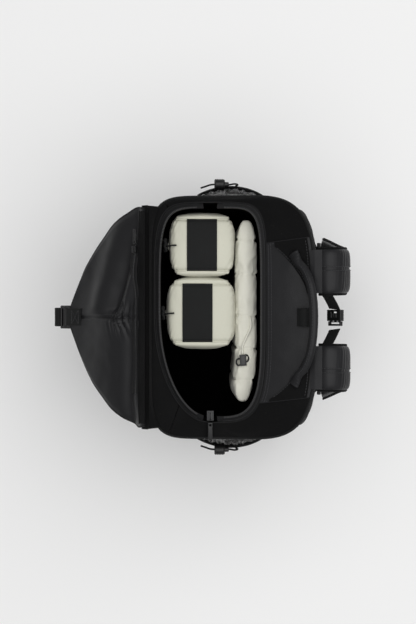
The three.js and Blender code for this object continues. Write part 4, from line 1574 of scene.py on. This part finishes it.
    def tip(self) -> None:
        """Sews on the tab and its ladder lock, and hangs the closing strap and hook from it."""
        turn = about("X", self.slope)
        s = self.tip_lock
        fold = ((128, 2.6), (142, 3.0), (152, 3.6), (158, 3.4), (161.2, 0.6), (158, -3.0), (150, -3.2))
        path = run([self.point(0, down, lift) for down, lift in fold], 60)
        tab = tape("tip_tab_webbing", path, 24, 1.3, SIDEWAYS)
        self.shop.place(soften(tab, FLAT), "hood", "webbing", "tip_tab")
        rows, x, low, high = [], 9.5, 132, 146
        for a, b, c, d in ((-x, low, x, low), (-x, high, x, high), (-x, low, x, high), (x, low, -x, high)):
            line = [self.point(mix(a, c, t), mix(b, d, t), 3.9) for t in span(0, 1, 20)]
            rows.append(stitches("tab_stitches", line, HOOD_FACE, *FINE))
        self.shop.place(join("tip_tab_stitching", rows), "hood", "thread")
        lock = slotted_plate("tip_ladder_frame", (-16, -12.5, 12.5, 16), (-9.5, -7.2, -3.2, 1.1, 6.1, 9.5),
                             ((1, 1), (1, 3)), 4.5, 1.1)
        self.shop.place(move(lock, turn, self.point(0, s, 0)), "hood", "plastic", "tip_ladder_lock")
        places = ((236.4, 287), (239.8, 285.2), (243.5, 286.6), (247.5, 285), (249.2, 278), (247.5, 262),
                  (243.6, 240), (241.9, 214), (241.9, 192), (241.9, 175), (243.6, 170.6), (245, 175),
                  (244.3, 192), (244, 206))
        hang = run([(0, -forward, z) for forward, z in places], 160)
        strap = tape("closing_strap_webbing", hang, self.strap_width, 1.7, SIDEWAYS)
        self.shop.place(soften(strap, FLAT), "closing_strap", "webbing", "closing_strap")
        seam = [Vector((x, -240.85, 197)) for x in span(-10, 10, 20)]
        row = stitches("closing_strap_stitches", seam, Vector((0, 1, 0)), *FINE)
        self.shop.place(row, "closing_strap", "thread")
        hook = slotted_plate("closing_hook_frame", (-15, -12, 4, 12, 15), (-13, -7, -1, 4.5, 9.5, 13),
                             ((1, 3), (2, 3), (0, 1), (1, 1)), 3.4, 0.9)
        aim = about("X", 90)
        self.shop.place(move(hook, aim, (0, -241.9, 164.4)), "closing_strap", "plastic", "closing_hook")

    def build(self) -> None:
        """Builds the hood."""
        self.halves()
        self.root()
        self.zip()
        self.tip()


# ------------------------------------------------------------------ handle and harness


@dataclass
class GrabHandle(Assembly):
    """The rolled handle behind the yoke."""

    radius: float = 5.7
    path: tuple[Point, ...] = ((-72, 82, 432.5), (-62, 90, 438.5), (-40, 98, 446.5), (2, 101.5, 450.5),
                               (44, 97.5, 446.5), (66, 90, 438.5), (76, 82, 432.5))

    def build(self) -> None:
        """Rolls the handle, flattened where it is sewn down, and stitches it along its roll."""
        ends = ((-84, 76, 427.6), *self.path, (88, 76, 427.4))

        def section(share: float) -> list[tuple[float, float]]:
            flat = 1 - smooth(min(share, 1 - share), 0.02, 0.16)
            wrinkle = 0.18 * sin(share * 160) * (0.3 + flat)
            return ring(self.radius * (1 + 0.35 * flat) + wrinkle, 22, 1 - 0.55 * flat)

        line = run(ends, 150)
        piece = sweep("handle_roll", line, section, Vector((0, 0.75, 0.6)))
        self.shop.place(soften(piece), "handle", "coated", "grab_handle")
        row = [p + Vector((0, -2.2, self.radius - 0.1)) for p in line[24:127]]
        self.shop.place(stitches("handle_stitching", row, UP), "handle", "thread")


@dataclass
class Harness(Assembly):
    """Two padded shoulder straps, their lower webbing, and the chest strap between them."""

    shift: float = 3.0
    thickness: float = 12.0
    path: tuple[tuple[float, float, float, float], ...] = (
        (63, 109.5, 423, 30), (63, 122, 429.5, 30), (63.5, 136, 424, 30), (64, 145, 405, 30),
        (65, 149, 372, 29.5), (69, 149.5, 322, 28.5), (76, 146.5, 262, 27), (86, 139.5, 202, 25),
        (94, 133, 160, 23))

    def centre(self, side: Side, t: float) -> tuple[Vector, float]:
        """The strap's middle and half width at a share of its length."""
        x, y, z, half = through(self.path, t)
        return Vector((self.shift + side.value * x, y, z)), half

    def on_strap(self, side: Side, t: float, across: float, out: float) -> Vector:
        """A point over the strap: across runs from -1 to 1, and out is measured from its middle surface."""
        place, half = self.centre(side, t)
        way = self.centre(side, min(t + 0.01, 1))[0] - self.centre(side, max(t - 0.01, 0))[0]
        outward = Vector((0, -way.z, way.y)).normalized()
        return place + Vector((across * half, 0, 0)) + outward * out

    def strap(self, side: Side) -> None:
        """Builds one padded strap with its centre seam, edge binding, rail and ladder lock."""
        across_count, steps = 28, 150
        node = f"shoulder_strap_{side.label}"

        def height(a: float, t: float) -> float:
            full = (1 - abs(a) ** 5) ** 0.5 if abs(a) < 1 else 0.0
            ends = (1 - abs(2 * t - 1) ** 24) ** 0.5 if 0 < t < 1 else 0.0
            swell = self.thickness / 2 * full * (0.35 + 0.65 * ends)
            crease = 0.55 * bump(t, 0.34, 0.1) * sin(t * 210 + 3 * a)
            groove = -1.7 * bump(a, 0.12 * side.value, 0.05)
            return max(swell + (crease + groove) * full, 0.15)

        loop = [(a, 1) for a in span(-1, 1, across_count)]
        loop += [(a, -1) for a in span(1, -1, across_count)[1:-1]]
        points = [self.on_strap(side, t, a, way * height(a, t) if way > 0 else -0.9 * abs(height(a, t)))
                  for t in span(0, 1, steps) for a, way in loop]
        solid = tube(node + "_pad", points, span(0, 330, steps), span(0, 130, len(loop)))
        piece = self.shop.place(soften(solid, 70), "harness", "coated", node)
        edges = []
        for sign in (-1, 1):
            line = [self.on_strap(side, t, sign, 0) for t in span(0.002, 0.998, 150)]
            edges.append(sweep(f"{node}_edge_{sign}", line, lambda share: ring(1.7, 10, 1.25)))
        self.shop.place(soften(join(node + "_binding", edges)), "harness", "canvas")
        rows = []
        for offset in (-0.09, 0.09):
            a = 0.12 * side.value + offset
            line = [self.on_strap(side, t, a, height(a, t) + 0.1) for t in span(0.03, 0.97, 150)]
            rows.append(stitches(f"{node}_row", line, Vector((0, 1, 0.2))))
        self.shop.place(join(node + "_stitching", rows), "harness", "thread")
        self.ladder(side)

    def ladder(self, side: Side) -> None:
        """Fits the ladder lock at the strap's foot, with the webbing above and below it."""
        label = side.label
        s = side.value
        middle = self.shift + s * 94.5
        above = [self.on_strap(side, t, 0, -self.thickness / 2 - 0.5) for t in (0.8, 0.88, 0.95, 1.0)]
        above += [Vector((middle, 129.6, 150)), Vector((middle, 127.6, 147.5)),
                  Vector((self.shift + s * 94.2, 129.0, 152.5)), Vector((self.shift + s * 93.8, 130.0, 158))]
        rail = tape(f"strap_foot_{label}", run(above, 70), 24, 1.4, SIDEWAYS)
        self.shop.place(soften(rail, FLAT), "harness", "webbing")
        frame = slotted_plate(f"strap_ladder_frame_{label}", (-17, -13, 13, 17),
                              (-12, -7.5, -2.5, 2.5, 7.5, 12), ((1, 1), (1, 3)), 5, 1.2)
        move(frame, about("X", 104), (middle, 129, 143.5))
        self.shop.place(frame, "harness", "plastic", f"strap_ladder_lock_{label}")

        def lie(share: float) -> Vector:
            return Vector((0.93, s * -0.2 * smooth(share, 0, 1), s * 0.32)).normalized()

        low = run([(middle, 127.2, 139), (self.shift + s * 96, 124.8, 128), (s * 106, 121, 104),
                   (s * 119, 115.5, 76), (s * 128, 111, 50), (s * 131, 109.8, 38)], 90)
        webbing = tape(f"lower_strap_{label}", low, 24, 1.7, lie)
        self.shop.dress(webbing, "webbing")
        soften(webbing, FLAT)
        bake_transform(webbing)
        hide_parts(f"lower_webbing_{label}")
        self.tab(side)

    def tab(self, side: Side) -> None:
        """Sews the anchor tab that holds the lower webbing at the base's corner."""
        s, label = side.value, side.label
        turn = about("Z", -28 * s) @ about("X", 90)
        half = (17, 17, 14.5, 11, 8.5)

        def at(u: float, v: float) -> Vector:
            row = v * (len(half) - 1)
            k = min(int(row), len(half) - 2)
            width = mix(half[k], half[k + 1], row - k)
            slide = -4.0 * s * max(0.0, v - 0.3)
            flat = Vector((slide + width * (2 * u - 1), mix(-15, 15, v), 0))
            return turn @ flat + Vector((s * 130, 108.5, 33))

        cloth = lay(f"anchor_tab_{label}_cloth", at, 24, 24, (34, 30))
        self.sew(cloth, 2.2, "casing", "canvas", f"anchor_tab_{label}", angle=60)
        corners = ((0.12, 0.1), (0.88, 0.1), (0.82, 0.8), (0.18, 0.8), (0.12, 0.1), (0.82, 0.8))
        line = []
        for (a, b), (c, d) in zip(corners, corners[1:]):
            line += [at(mix(a, c, t), mix(b, d, t)) for t in span(0, 1, 12)]
        outward = (turn @ UP).normalized()
        outward = outward if outward.y > 0 else -outward
        row = stitches(f"anchor_stitching_{label}", [p + outward * 1.25 for p in line], outward, *FINE)
        self.shop.place(row, "casing", "thread")

    def chest(self) -> None:
        """Hangs the chest strap between the shoulder straps, with its side-release buckle."""
        tilt = Vector((0, 0.7, 0.72)).normalized()
        left = run([(-34, 118, 411), (-29, 122, 405), (-20, 128, 396), (-11, 133, 388)], 40)
        right = run([(16.5, 133, 388), (26, 128, 396), (36, 122, 405), (42, 118, 411)], 40)
        for name, line, body in (("left", left, "harness"), ("right", right, "chest_clip")):
            piece = tape(f"chest_strap_{name}", line, 18, 1.5, tilt)
            self.shop.place(soften(piece, FLAT), body, "webbing", f"chest_webbing_{name}")
        aim, place = about("X", 46), (-2.5, 134, 386)
        parts = []
        for z in (-2.75, 2.75):
            shell = slotted_plate("buckle_shell", (-7.5, -6, 3.2, 7.5), (-12, -8.6, -5, 5, 8.6, 12),
                                  ((1, 2),), 1.5, 0.5)
            parts.append(move(shell, UNTURNED, (0, 0, z)))
        for y in (-10.8, 10.8):
            wall = moulded_block("buckle_wall", (15, 2.4, 5.6), 0.5, 0.1, 0.4)
            parts.append(move(wall, UNTURNED, (0, y, 0)))
        back = moulded_block("buckle_back", (2.6, 20, 5.6), 0.5, 0.1, 0.4)
        female = join("buckle_socket", [*parts, move(back, UNTURNED, (-6.2, 0, 0))])
        self.shop.place(move(female, aim, place), "harness", "plastic", "chest_buckle_female")
        plug = [slotted_plate("buckle_plug_frame", (8, 9.4, 11.4, 14), (-11, -8.6, 8.6, 11), ((1, 1),),
                              5.2, 0.9)]
        for y in (-7.4, 0, 7.4):
            prong = moulded_block("buckle_prong", (12.5, 2.6, 2.4), 0.5, 0.2, 0.4)
            plug.append(move(prong, UNTURNED, (3.2, y, 0)))
        male = join("buckle_plug", plug)
        self.shop.place(move(male, aim, place), "chest_clip", "plastic", "chest_buckle_male")

    def root(self, side: Side) -> None:
        """Sews the strap's head to the yoke's rear edge."""
        steps = ((98.5, 428.4), (104.0, 430.6), (109.0, 431.6), (113.5, 432.4))
        middle = self.shift + side.value * 63

        def at(u: float, v: float) -> Vector:
            i = min(int(v * 3), 2)
            y, z = (mix(steps[i][n], steps[i + 1][n], v * 3 - i) for n in (0, 1))
            return Vector((middle + mix(-28.5, 28.5, u), y, z + 0.4 * wander(u * 60, v * 14, side.value, 15)))

        piece = soften(thicken(lay(f"strap_root_{side.label}", at, 40, 15, (57, 16)), 1.4))
        self.shop.dress(piece, "coated")
        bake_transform(piece)

    def build(self) -> None:
        """Builds the harness."""
        for side in Side:
            self.strap(side)
            self.root(side)
        self.chest()


@dataclass
class MainZip(Assembly):
    """The main zip's slider and its pull, parked at the +X end of the mouth."""

    x: float = 130.0
    y: float = -33.0
    z: float = 409.8

    def build(self) -> None:
        """Builds the slider with its bridge, and the moulded pull."""
        body = moulded_block("main_slider_shell", (13, 9, 2.6), 1.6, 0.6, 0.7)
        move(body, UNTURNED, (self.x, self.y, self.z - 0.7))
        arch = run([(self.x + dx, self.y, self.z + dz)
                    for dx, dz in ((-4, 0.4), (-2.5, 1.9), (3, 1.9), (5.6, 0.2))], 20)
        bridge = cord("main_slider_bridge", arch, 0.8)
        slider = soften(join("main_slider_body", [body, bridge]), 35)
        self.shop.place(slider, "main_slider", "metal", "main_slider")
        pull = slotted_plate("main_pull_tab", (0, 2, 5, 24), (-3, -1.3, 1.3, 3), ((1, 1),), 2.0, 0.6)
        tilt = about("Y", 14)
        move(pull, tilt, (self.x + 9.2, self.y, self.z))
        self.shop.place(pull, "main_pull", "plastic", "main_zip_pull")


# ------------------------------------------------------------------ inserts


def press(piece: Piece, depth: Callable[[float, float, float], float]) -> Piece:
    """Presses a piece's surface in along its normals.

    Args:
        piece: The piece.
        depth: How far it is pressed in at a point, all in millimetres.

    Returns:
        The piece.
    """
    mesh = piece.data
    places = np.empty(len(mesh.vertices) * 3, np.float32)
    normals = np.empty(len(mesh.vertices) * 3, np.float32)
    mesh.vertices.foreach_get("co", places)
    mesh.vertex_normals.foreach_get("vector", normals)
    rows = places.reshape(-1, 3)
    depths = np.array([depth(*row) for row in (rows / MM).tolist()]) * MM
    pressed = rows - normals.reshape(-1, 3) * depths[:, None]
    mesh.vertices.foreach_set("co", pressed.ravel().astype(np.float32))
    mesh.update()
    return piece


def box_weave(piece: Piece) -> Piece:
    """Lays the weave of a remeshed piece on it, from the side that each face looks to."""
    mesh = piece.data
    layer = mesh.uv_layers.get("UVMap") or mesh.uv_layers.new(name="UVMap")
    for polygon in mesh.polygons:
        n = polygon.normal
        main = max(range(3), key=lambda k: abs(n[k]))
        a, b = [(1, 2), (0, 2), (0, 1)][main]
        for corner in polygon.loop_indices:
            co = mesh.vertices[mesh.loops[corner].vertex_index].co
            layer.data[corner].uv = (co[a], co[b])
    return piece


def drop_on(piece: Piece, start: Vector, way: Vector, off: float) -> Vector:
    """Where a line from a point first meets a piece, stood off it a little.

    Args:
        piece: The piece.
        start: The point, in millimetres.
        way: The line's direction.
        off: How far off the surface the result stands.

    Returns:
        The point, in millimetres; the start itself if the line misses.
    """
    hit, place, normal, _ = piece.ray_cast(start * MM, way)
    return place / MM + normal * off if hit else start


@dataclass
class SlimBox(Assembly):
    """A slim zipped case that stands in the bag and lifts out by its end band."""

    name: str
    x: float
    y: float
    width: float
    depth: float
    height: float
    band_shift: float
    floor: float = 4.0
    band: float = 40.0

    @property
    def top(self) -> float:
        """The height of its top."""
        return self.floor + self.height

    @property
    def seam(self) -> float:
        """How far the top panel's end seams are from the middle."""
        return self.width / 2 - 8

    def body(self) -> Piece:
        """Sews the case: a tall soft box whose top panel is full and whose ends swell past their seams."""
        slim, edge = 0.9, 7.0
        w, d = self.width / 2 - slim, self.depth / 2 - slim
        high = self.top + 1

        def at(u: float, v: float) -> Vector:
            angle = 2 * pi * u
            px, py = signed_power(cos(angle), 0.22), signed_power(sin(angle), 0.22)
            bow = 2.2 * smooth(v, 0.9, 0.3)
            px, py = px * (1 - bow / w * py * py), py * (1 - bow / d * px * px)
            if v < 0.3:
                share = v / 0.3
                out_x, out_y = (w - edge) * px * share, (d - edge) * py * share
                z = high - 1.5 * share**4
            elif v < 0.45:
                turn = (v - 0.3) / 0.15 * pi / 2
                inset = edge * (1 - sin(turn))
                out_x, out_y = (w - inset) * px, (d - inset) * py
                z = high - 1.5 - (edge - 1.5) * (1 - cos(turn))
            elif v < 0.9:
                share = (v - 0.45) / 0.45
                waist = 0.8 * sin(share * pi)
                out_x, out_y = (w - waist) * px, (d - waist) * py
                z = mix(high - edge, self.floor + slim + 8, share)
            else:
                share = (1 - v) / 0.1
                out_x, out_y = w * px * share**0.6, d * py * share**0.6
                z = self.floor + slim + 8 * share**2
            return Vector((self.x + out_x, self.y + out_y, z))

        piece = merge(lay(f"{self.name}_case", at, 104, 110, (350, 400), around=True))
        puff(piece, 4.5, 3.0, 3.0)
        return box_weave(soften(press(refine(piece), self.tuck)))

    def tuck(self, x: float, y: float, z: float) -> float:
        """How far the cloth is drawn in: along the top's end seams, with short creases at the corners."""
        side = min(abs(x - (self.x - self.seam)), abs(x - (self.x + self.seam)))
        near_top = smooth(z, self.top - 26, self.top - 4)
        seam = 2.6 * exp(-((side / 2.2) ** 2)) * near_top
        corner = smooth(abs(y - self.y), self.depth * 0.3, self.depth * 0.5)
        wave = sin(0.5 * (x - self.x) + 0.4 * z + 1.1 * y)
        crease = 1.9 * near_top * corner * wave * exp(-side / 12)
        outer = smooth(abs(y - self.y), self.depth * 0.42, self.depth * 0.52)
        pinch = 3.4 * near_top * exp(-side / 5) * outer
        below = 1 - near_top
        fold = 1.5 * below * bump(sin(0.031 * z + 0.02 * x + self.x), 0.9, 0.25)
        return seam + crease + pinch + fold + 0.6 * wander(x, y, z, 30)

    def dressings(self, case: Piece) -> None:
        """Sews the band across the top, the piping at its ends, and the zip down the front."""
        top, half = self.top + 30, self.seam
        middle = self.y + self.band_shift

        def over(u: float, v: float) -> Vector:
            start = Vector((self.x + half * (2 * u - 1), middle + self.band * (v - 0.5), top))
            return drop_on(case, start, DOWN, 0.9 + 0.35 * sin(pi * u) * sin(pi * v))

        cloth = lay(f"{self.name}_band", over, 60, 36, (2 * half, self.band))
        self.sew(cloth, 1.5, self.name, "webbing", f"{self.name}_handle_band", angle=60)
        seams, rows = [], []
        for sign in (-1, 1):
            reach = self.depth / 2 - 9
            line = [drop_on(case, Vector((self.x + sign * half, self.y + across, top)), DOWN, 0.5)
                    for across in span(-reach, reach, 60)]
            seams.append(cord(f"{self.name}_seam_{sign}", line, 0.9))
            sewn = [over(0.5 + sign * 0.47, v) + UP * 0.9 for v in span(0.03, 0.97, 20)]
            rows.append(stitches(f"{self.name}_sewn_{sign}", sewn, UP, *FINE))
        self.shop.place(soften(join(f"{self.name}_piping", seams)), self.name, "greige")
        self.shop.place(join(f"{self.name}_stitching", rows), self.name, "thread")
        front = self.y - self.depth / 2 - 20
        line = [drop_on(case, Vector((self.x, front, z)), Vector((0, 1, 0)), 0.7)
                for z in span(self.top - 34, 34, 90)]
        zip_tape = tape(f"{self.name}_zip_cloth", line, 9, 0.8, SIDEWAYS)
        self.shop.place(soften(zip_tape, FLAT), self.name, "greige", f"{self.name}_zip")
        teeth = coil(f"{self.name}_zip_coil", [p - Vector((0, 0.6, 0)) for p in line],
                     Vector((0, -1, 0)), 2.6, 2.2)
        self.shop.place(soften(teeth, CRISP), self.name, "greige")

    def slider(self) -> None:
        """Fits the slider, with its short knotted cord pull."""
        front, top = self.y - self.depth / 2, self.top
        body = moulded_block(f"{self.name}_slider_shell", (8, 10, 2.4), 1.2, 0.5, 0.5)
        move(body, about("X", 90), (self.x, front - 3.6, top - 40))
        self.shop.place(body, f"{self.name}_slider", "plastic", f"{self.name}_slider")
        offsets = ((0, -4.9, -38), (0, -6.6, -28), (1.5, -7.4, -16),
                   (2, -5, -4), (1, 1.5, 3.2), (0.5, 9, 2.6))
        path = run([(self.x + dx, front + dy, top + dz) for dx, dy, dz in offsets], 44)
        pull = soften(cord(f"{self.name}_pull_cord", path, 1.1))
        self.shop.place(pull, f"{self.name}_slider", "webbing")
        knots = []
        for k, (dx, dy, dz) in enumerate(((-3.5, -6.2, -4), (4, -5.8, -1))):
            centre = Vector((self.x + dx, front + dy, top + dz))
            knots.append(twist(f"{self.name}_knot_{k}", centre, (4.2, 1.1, 3.0), 1.6, upright=True))
        knot = soften(join(f"{self.name}_pull_knot", knots))
        self.shop.place(knot, f"{self.name}_slider", "webbing")
        length = sum((b - a).length for a, b in zip(path, path[1:])) * MM

    def build(self) -> None:
        """Builds the case."""
        case = self.body()
        self.shop.place(case, self.name, "greige", f"{self.name}_body")
        self.dressings(case)
        self.slider()


@dataclass
class QuiltedSleeve(Assembly):
    """A quilted sleeve that stands behind the cases, with a cord closure."""

    start: float = -132.0
    end: float = 116.0
    floor: float = 4.0
    height: float = 378.0
    seams: tuple[float, ...] = (-104.0, -58.0, -2.0, 42.0, 84.0)

    def middle(self, x: float) -> float:
        """The depth of its middle at x."""
        return 15 - 6.5 * smooth(x, 50, self.end)

    def half(self, x: float) -> float:
        """Half its thickness at x."""
        share = clamp((x - self.start) / (self.end - self.start))
        return 13.2 * max(1 - abs(2 * share - 1) ** 12, 0.0) ** 0.5 + 0.4

    def build(self) -> None:
        """Sews the sleeve, quilts it, and lays its cord and lock on top."""
        top = self.floor + self.height

        def at(u: float, v: float) -> Vector:
            turn = 2 * pi * u
            x = mix(self.start + 1.5, self.end - 1.5, 0.5 - 0.5 * signed_power(cos(turn), 0.8))
            y = self.middle(x) + copysign(max(self.half(x) - 1.6, 0.0), sin(turn))
            shut = clamp(min(v, 1 - v) / 0.022)
            squeeze = (1 - (1 - shut) ** 3.5) ** (1 / 3.5)
            centre = self.middle(x)
            drawn = mix(mix(self.start, self.end, 0.5), x, 0.97 + 0.03 * squeeze)
            return Vector((drawn, mix(centre, y, squeeze), mix(top - 1, self.floor + 1, v)))

        piece = merge(lay("sleeve_quilt", at, 150, 130, (540, 380), around=True, capped=True))
        puff(piece, 3.6, 2.5, 2.6)
        press(refine(piece), self.quilting)
        self.shop.place(box_weave(soften(piece)), "sleeve", "ivory", "sleeve_body")
        self.cords(piece, top)

    def quilting(self, x: float, y: float, z: float) -> float:
        """How far the sewn channels draw the quilt in, with the short pleats beside them."""
        line = sum(bump(x, seam + 0.05 * (y - 15), 1.6) for seam in self.seams)
        rows = sum(bump(z, self.floor + self.height - 62 * k, 2.6) for k in range(1, 6))
        near = min(abs(x - seam) for seam in self.seams)
        edge = smooth(abs(y - self.middle(x)), self.half(x) * 0.35, self.half(x))
        pleat = 1.0 * exp(-near / 7) * edge * sin(1.1 * y + 0.35 * x)
        channels = 2.3 * line * (0.5 + 0.5 * edge) + 1.6 * rows * (1 - min(line, 1))
        return channels + pleat + 0.4 * wander(x, y, z, 17)

    def cords(self, quilt: Piece, top: float) -> None:
        """Lays the drawcord over the top, with its lock."""
        raw = run([(0, 20, 0), (12, 21, 0), (26, 16, 0), (38, 11, 0), (49, 10.5, 0)], 60)
        dropped = [drop_on(quilt, Vector((p.x, p.y, top + 20)), DOWN, 1.5) for p in raw]
        path = []
        for k, p in enumerate(dropped):
            near = dropped[max(0, k - 4):k + 5]
            path.append(Vector((p.x, p.y, sum(q.z for q in near) / len(near))))
        piece = soften(cord("sleeve_drawcord", path, 1.4))
        self.shop.place(piece, "sleeve", "ivory", "sleeve_cord")
        lock = moulded_block("sleeve_cord_lock", (15, 9, 4.5), 1.4, 0.7, 1.0)
        end = path[-1]
        move(lock, about("Z", 4), (end.x + 8.5, end.y + 0.8, end.z + 1.2))
        loops = [twist(f"sleeve_loop_{k}", end + Vector((dx, dy, 0.6)), (4.5, 3.2, 0.9), 1.2)
                 for k, (dx, dy) in enumerate(((6, 5), (11, -5)))]
        stop = join("sleeve_cord_stop", [lock, *loops])
        self.shop.place(soften(stop, FLAT), "sleeve", "plastic", "sleeve_cord_end")
        length = sum((b - a).length for a, b in zip(path, path[1:])) * MM


# ------------------------------------------------------------------ studio


@dataclass
class Studio:
    """The camera, the pale floor and the soft lights."""

    camera_height: float = 2.7
    lens: float = 100.0
    middle: tuple[float, float] = (-0.007, -0.036)
    horizon: float = 0.13
    zenith: float = 0.66
    floor_size: float = 12.0
    floor_colour: tuple[float, ...] = (0.87, 0.87, 0.868, 1)
    key_place: Point = (-0.15, 0.62, 3.3)
    key_size: float = 4.0
    key_power: float = 90.0
    aim: Point = (0, 0, 0.35)

    def camera(self) -> None:
        """Hangs the camera straight above the mouth, with the bag's back to the right of the frame."""
        data = bpy.data.cameras.new("overhead")
        data.lens, data.sensor_width = self.lens, 36
        rig = bpy.data.objects.new("overhead", data)
        rig.location = (*self.middle, self.camera_height)
        rig.rotation_euler = (0, 0, pi / 2)
        bpy.context.scene.collection.objects.link(rig)
        bpy.context.scene.camera = rig

    def floor(self) -> None:
        """Lays the plain pale floor."""
        bpy.ops.object.select_all(action="DESELECT")
        bpy.ops.mesh.primitive_plane_add(size=self.floor_size)
        ground = bpy.context.object
        ground.name = "floor"
        paint = bpy.data.materials.new("floor_paint")
        paint.use_nodes = True
        shader = paint.node_tree.nodes["Principled BSDF"]
        shader.inputs["Base Color"].default_value = self.floor_colour
        shader.inputs["Roughness"].default_value = 0.9
        shader.inputs["Specular IOR Level"].default_value = 0.1
        ground.data.materials.append(paint)

    def lamp(self) -> None:
        """Sets a soft square light overhead, aimed at the bag's rim."""
        data = bpy.data.lights.new("overhead_key", "AREA")
        data.size, data.energy = self.key_size, self.key_power
        lamp = bpy.data.objects.new("overhead_key", data)
        lamp.location = self.key_place
        way = Vector(self.aim) - Vector(self.key_place)
        lamp.rotation_euler = way.to_track_quat("-Z", "Y").to_euler()
        bpy.context.scene.collection.objects.link(lamp)

    def build(self) -> None:
        """Sets up the studio."""
        self.camera()
        self.floor()
        self.lamp()
        self.room()

    def room(self) -> None:
        """Fills the room with pale light that is stronger from above."""
        world = bpy.data.worlds.new("room")
        world.use_nodes = True
        wiring, join_up = Wiring(world.node_tree), world.node_tree.links.new
        place, height = wiring.node("ShaderNodeTexCoord"), wiring.node("ShaderNodeSeparateXYZ")
        reach, sky = wiring.node("ShaderNodeMapRange"), wiring.node("ShaderNodeBackground")
        join_up(place.outputs["Generated"], height.inputs["Vector"])
        join_up(height.outputs["Z"], reach.inputs["Value"])
        join_up(reach.outputs["Result"], sky.inputs["Strength"])
        join_up(sky.outputs["Background"], wiring.node("ShaderNodeOutputWorld").inputs["Surface"])
        reach.inputs["To Min"].default_value, reach.inputs["To Max"].default_value = self.horizon, self.zenith
        sky.inputs["Color"].default_value = (1, 1, 1, 1)
        bpy.context.scene.world = world
        bpy.context.scene.view_settings.view_transform = "Standard"


def main() -> None:
    """Loads the frame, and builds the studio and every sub-assembly."""
    logging.basicConfig(level=logging.INFO, format="%(message)s")
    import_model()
    Studio().build()
    shop = Workshop()
    assemblies = [Shell(shop), Deck(shop), BackPads(shop), SidePocket(shop, Side.LEFT),
                  SidePocket(shop, Side.RIGHT), Hood(shop), GrabHandle(shop), Harness(shop), MainZip(shop),
                  SlimBox(shop, "slim_box_1", -96.5, -44, 85, 86, 384, 0),
                  SlimBox(shop, "slim_box_2", -6, -45, 94, 90, 382, -5),
                  QuiltedSleeve(shop)]
    for assembly in assemblies:
        assembly.build()
        log.info("built the %s", type(assembly).__name__)
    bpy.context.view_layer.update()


if __name__ == "__main__":
    main()
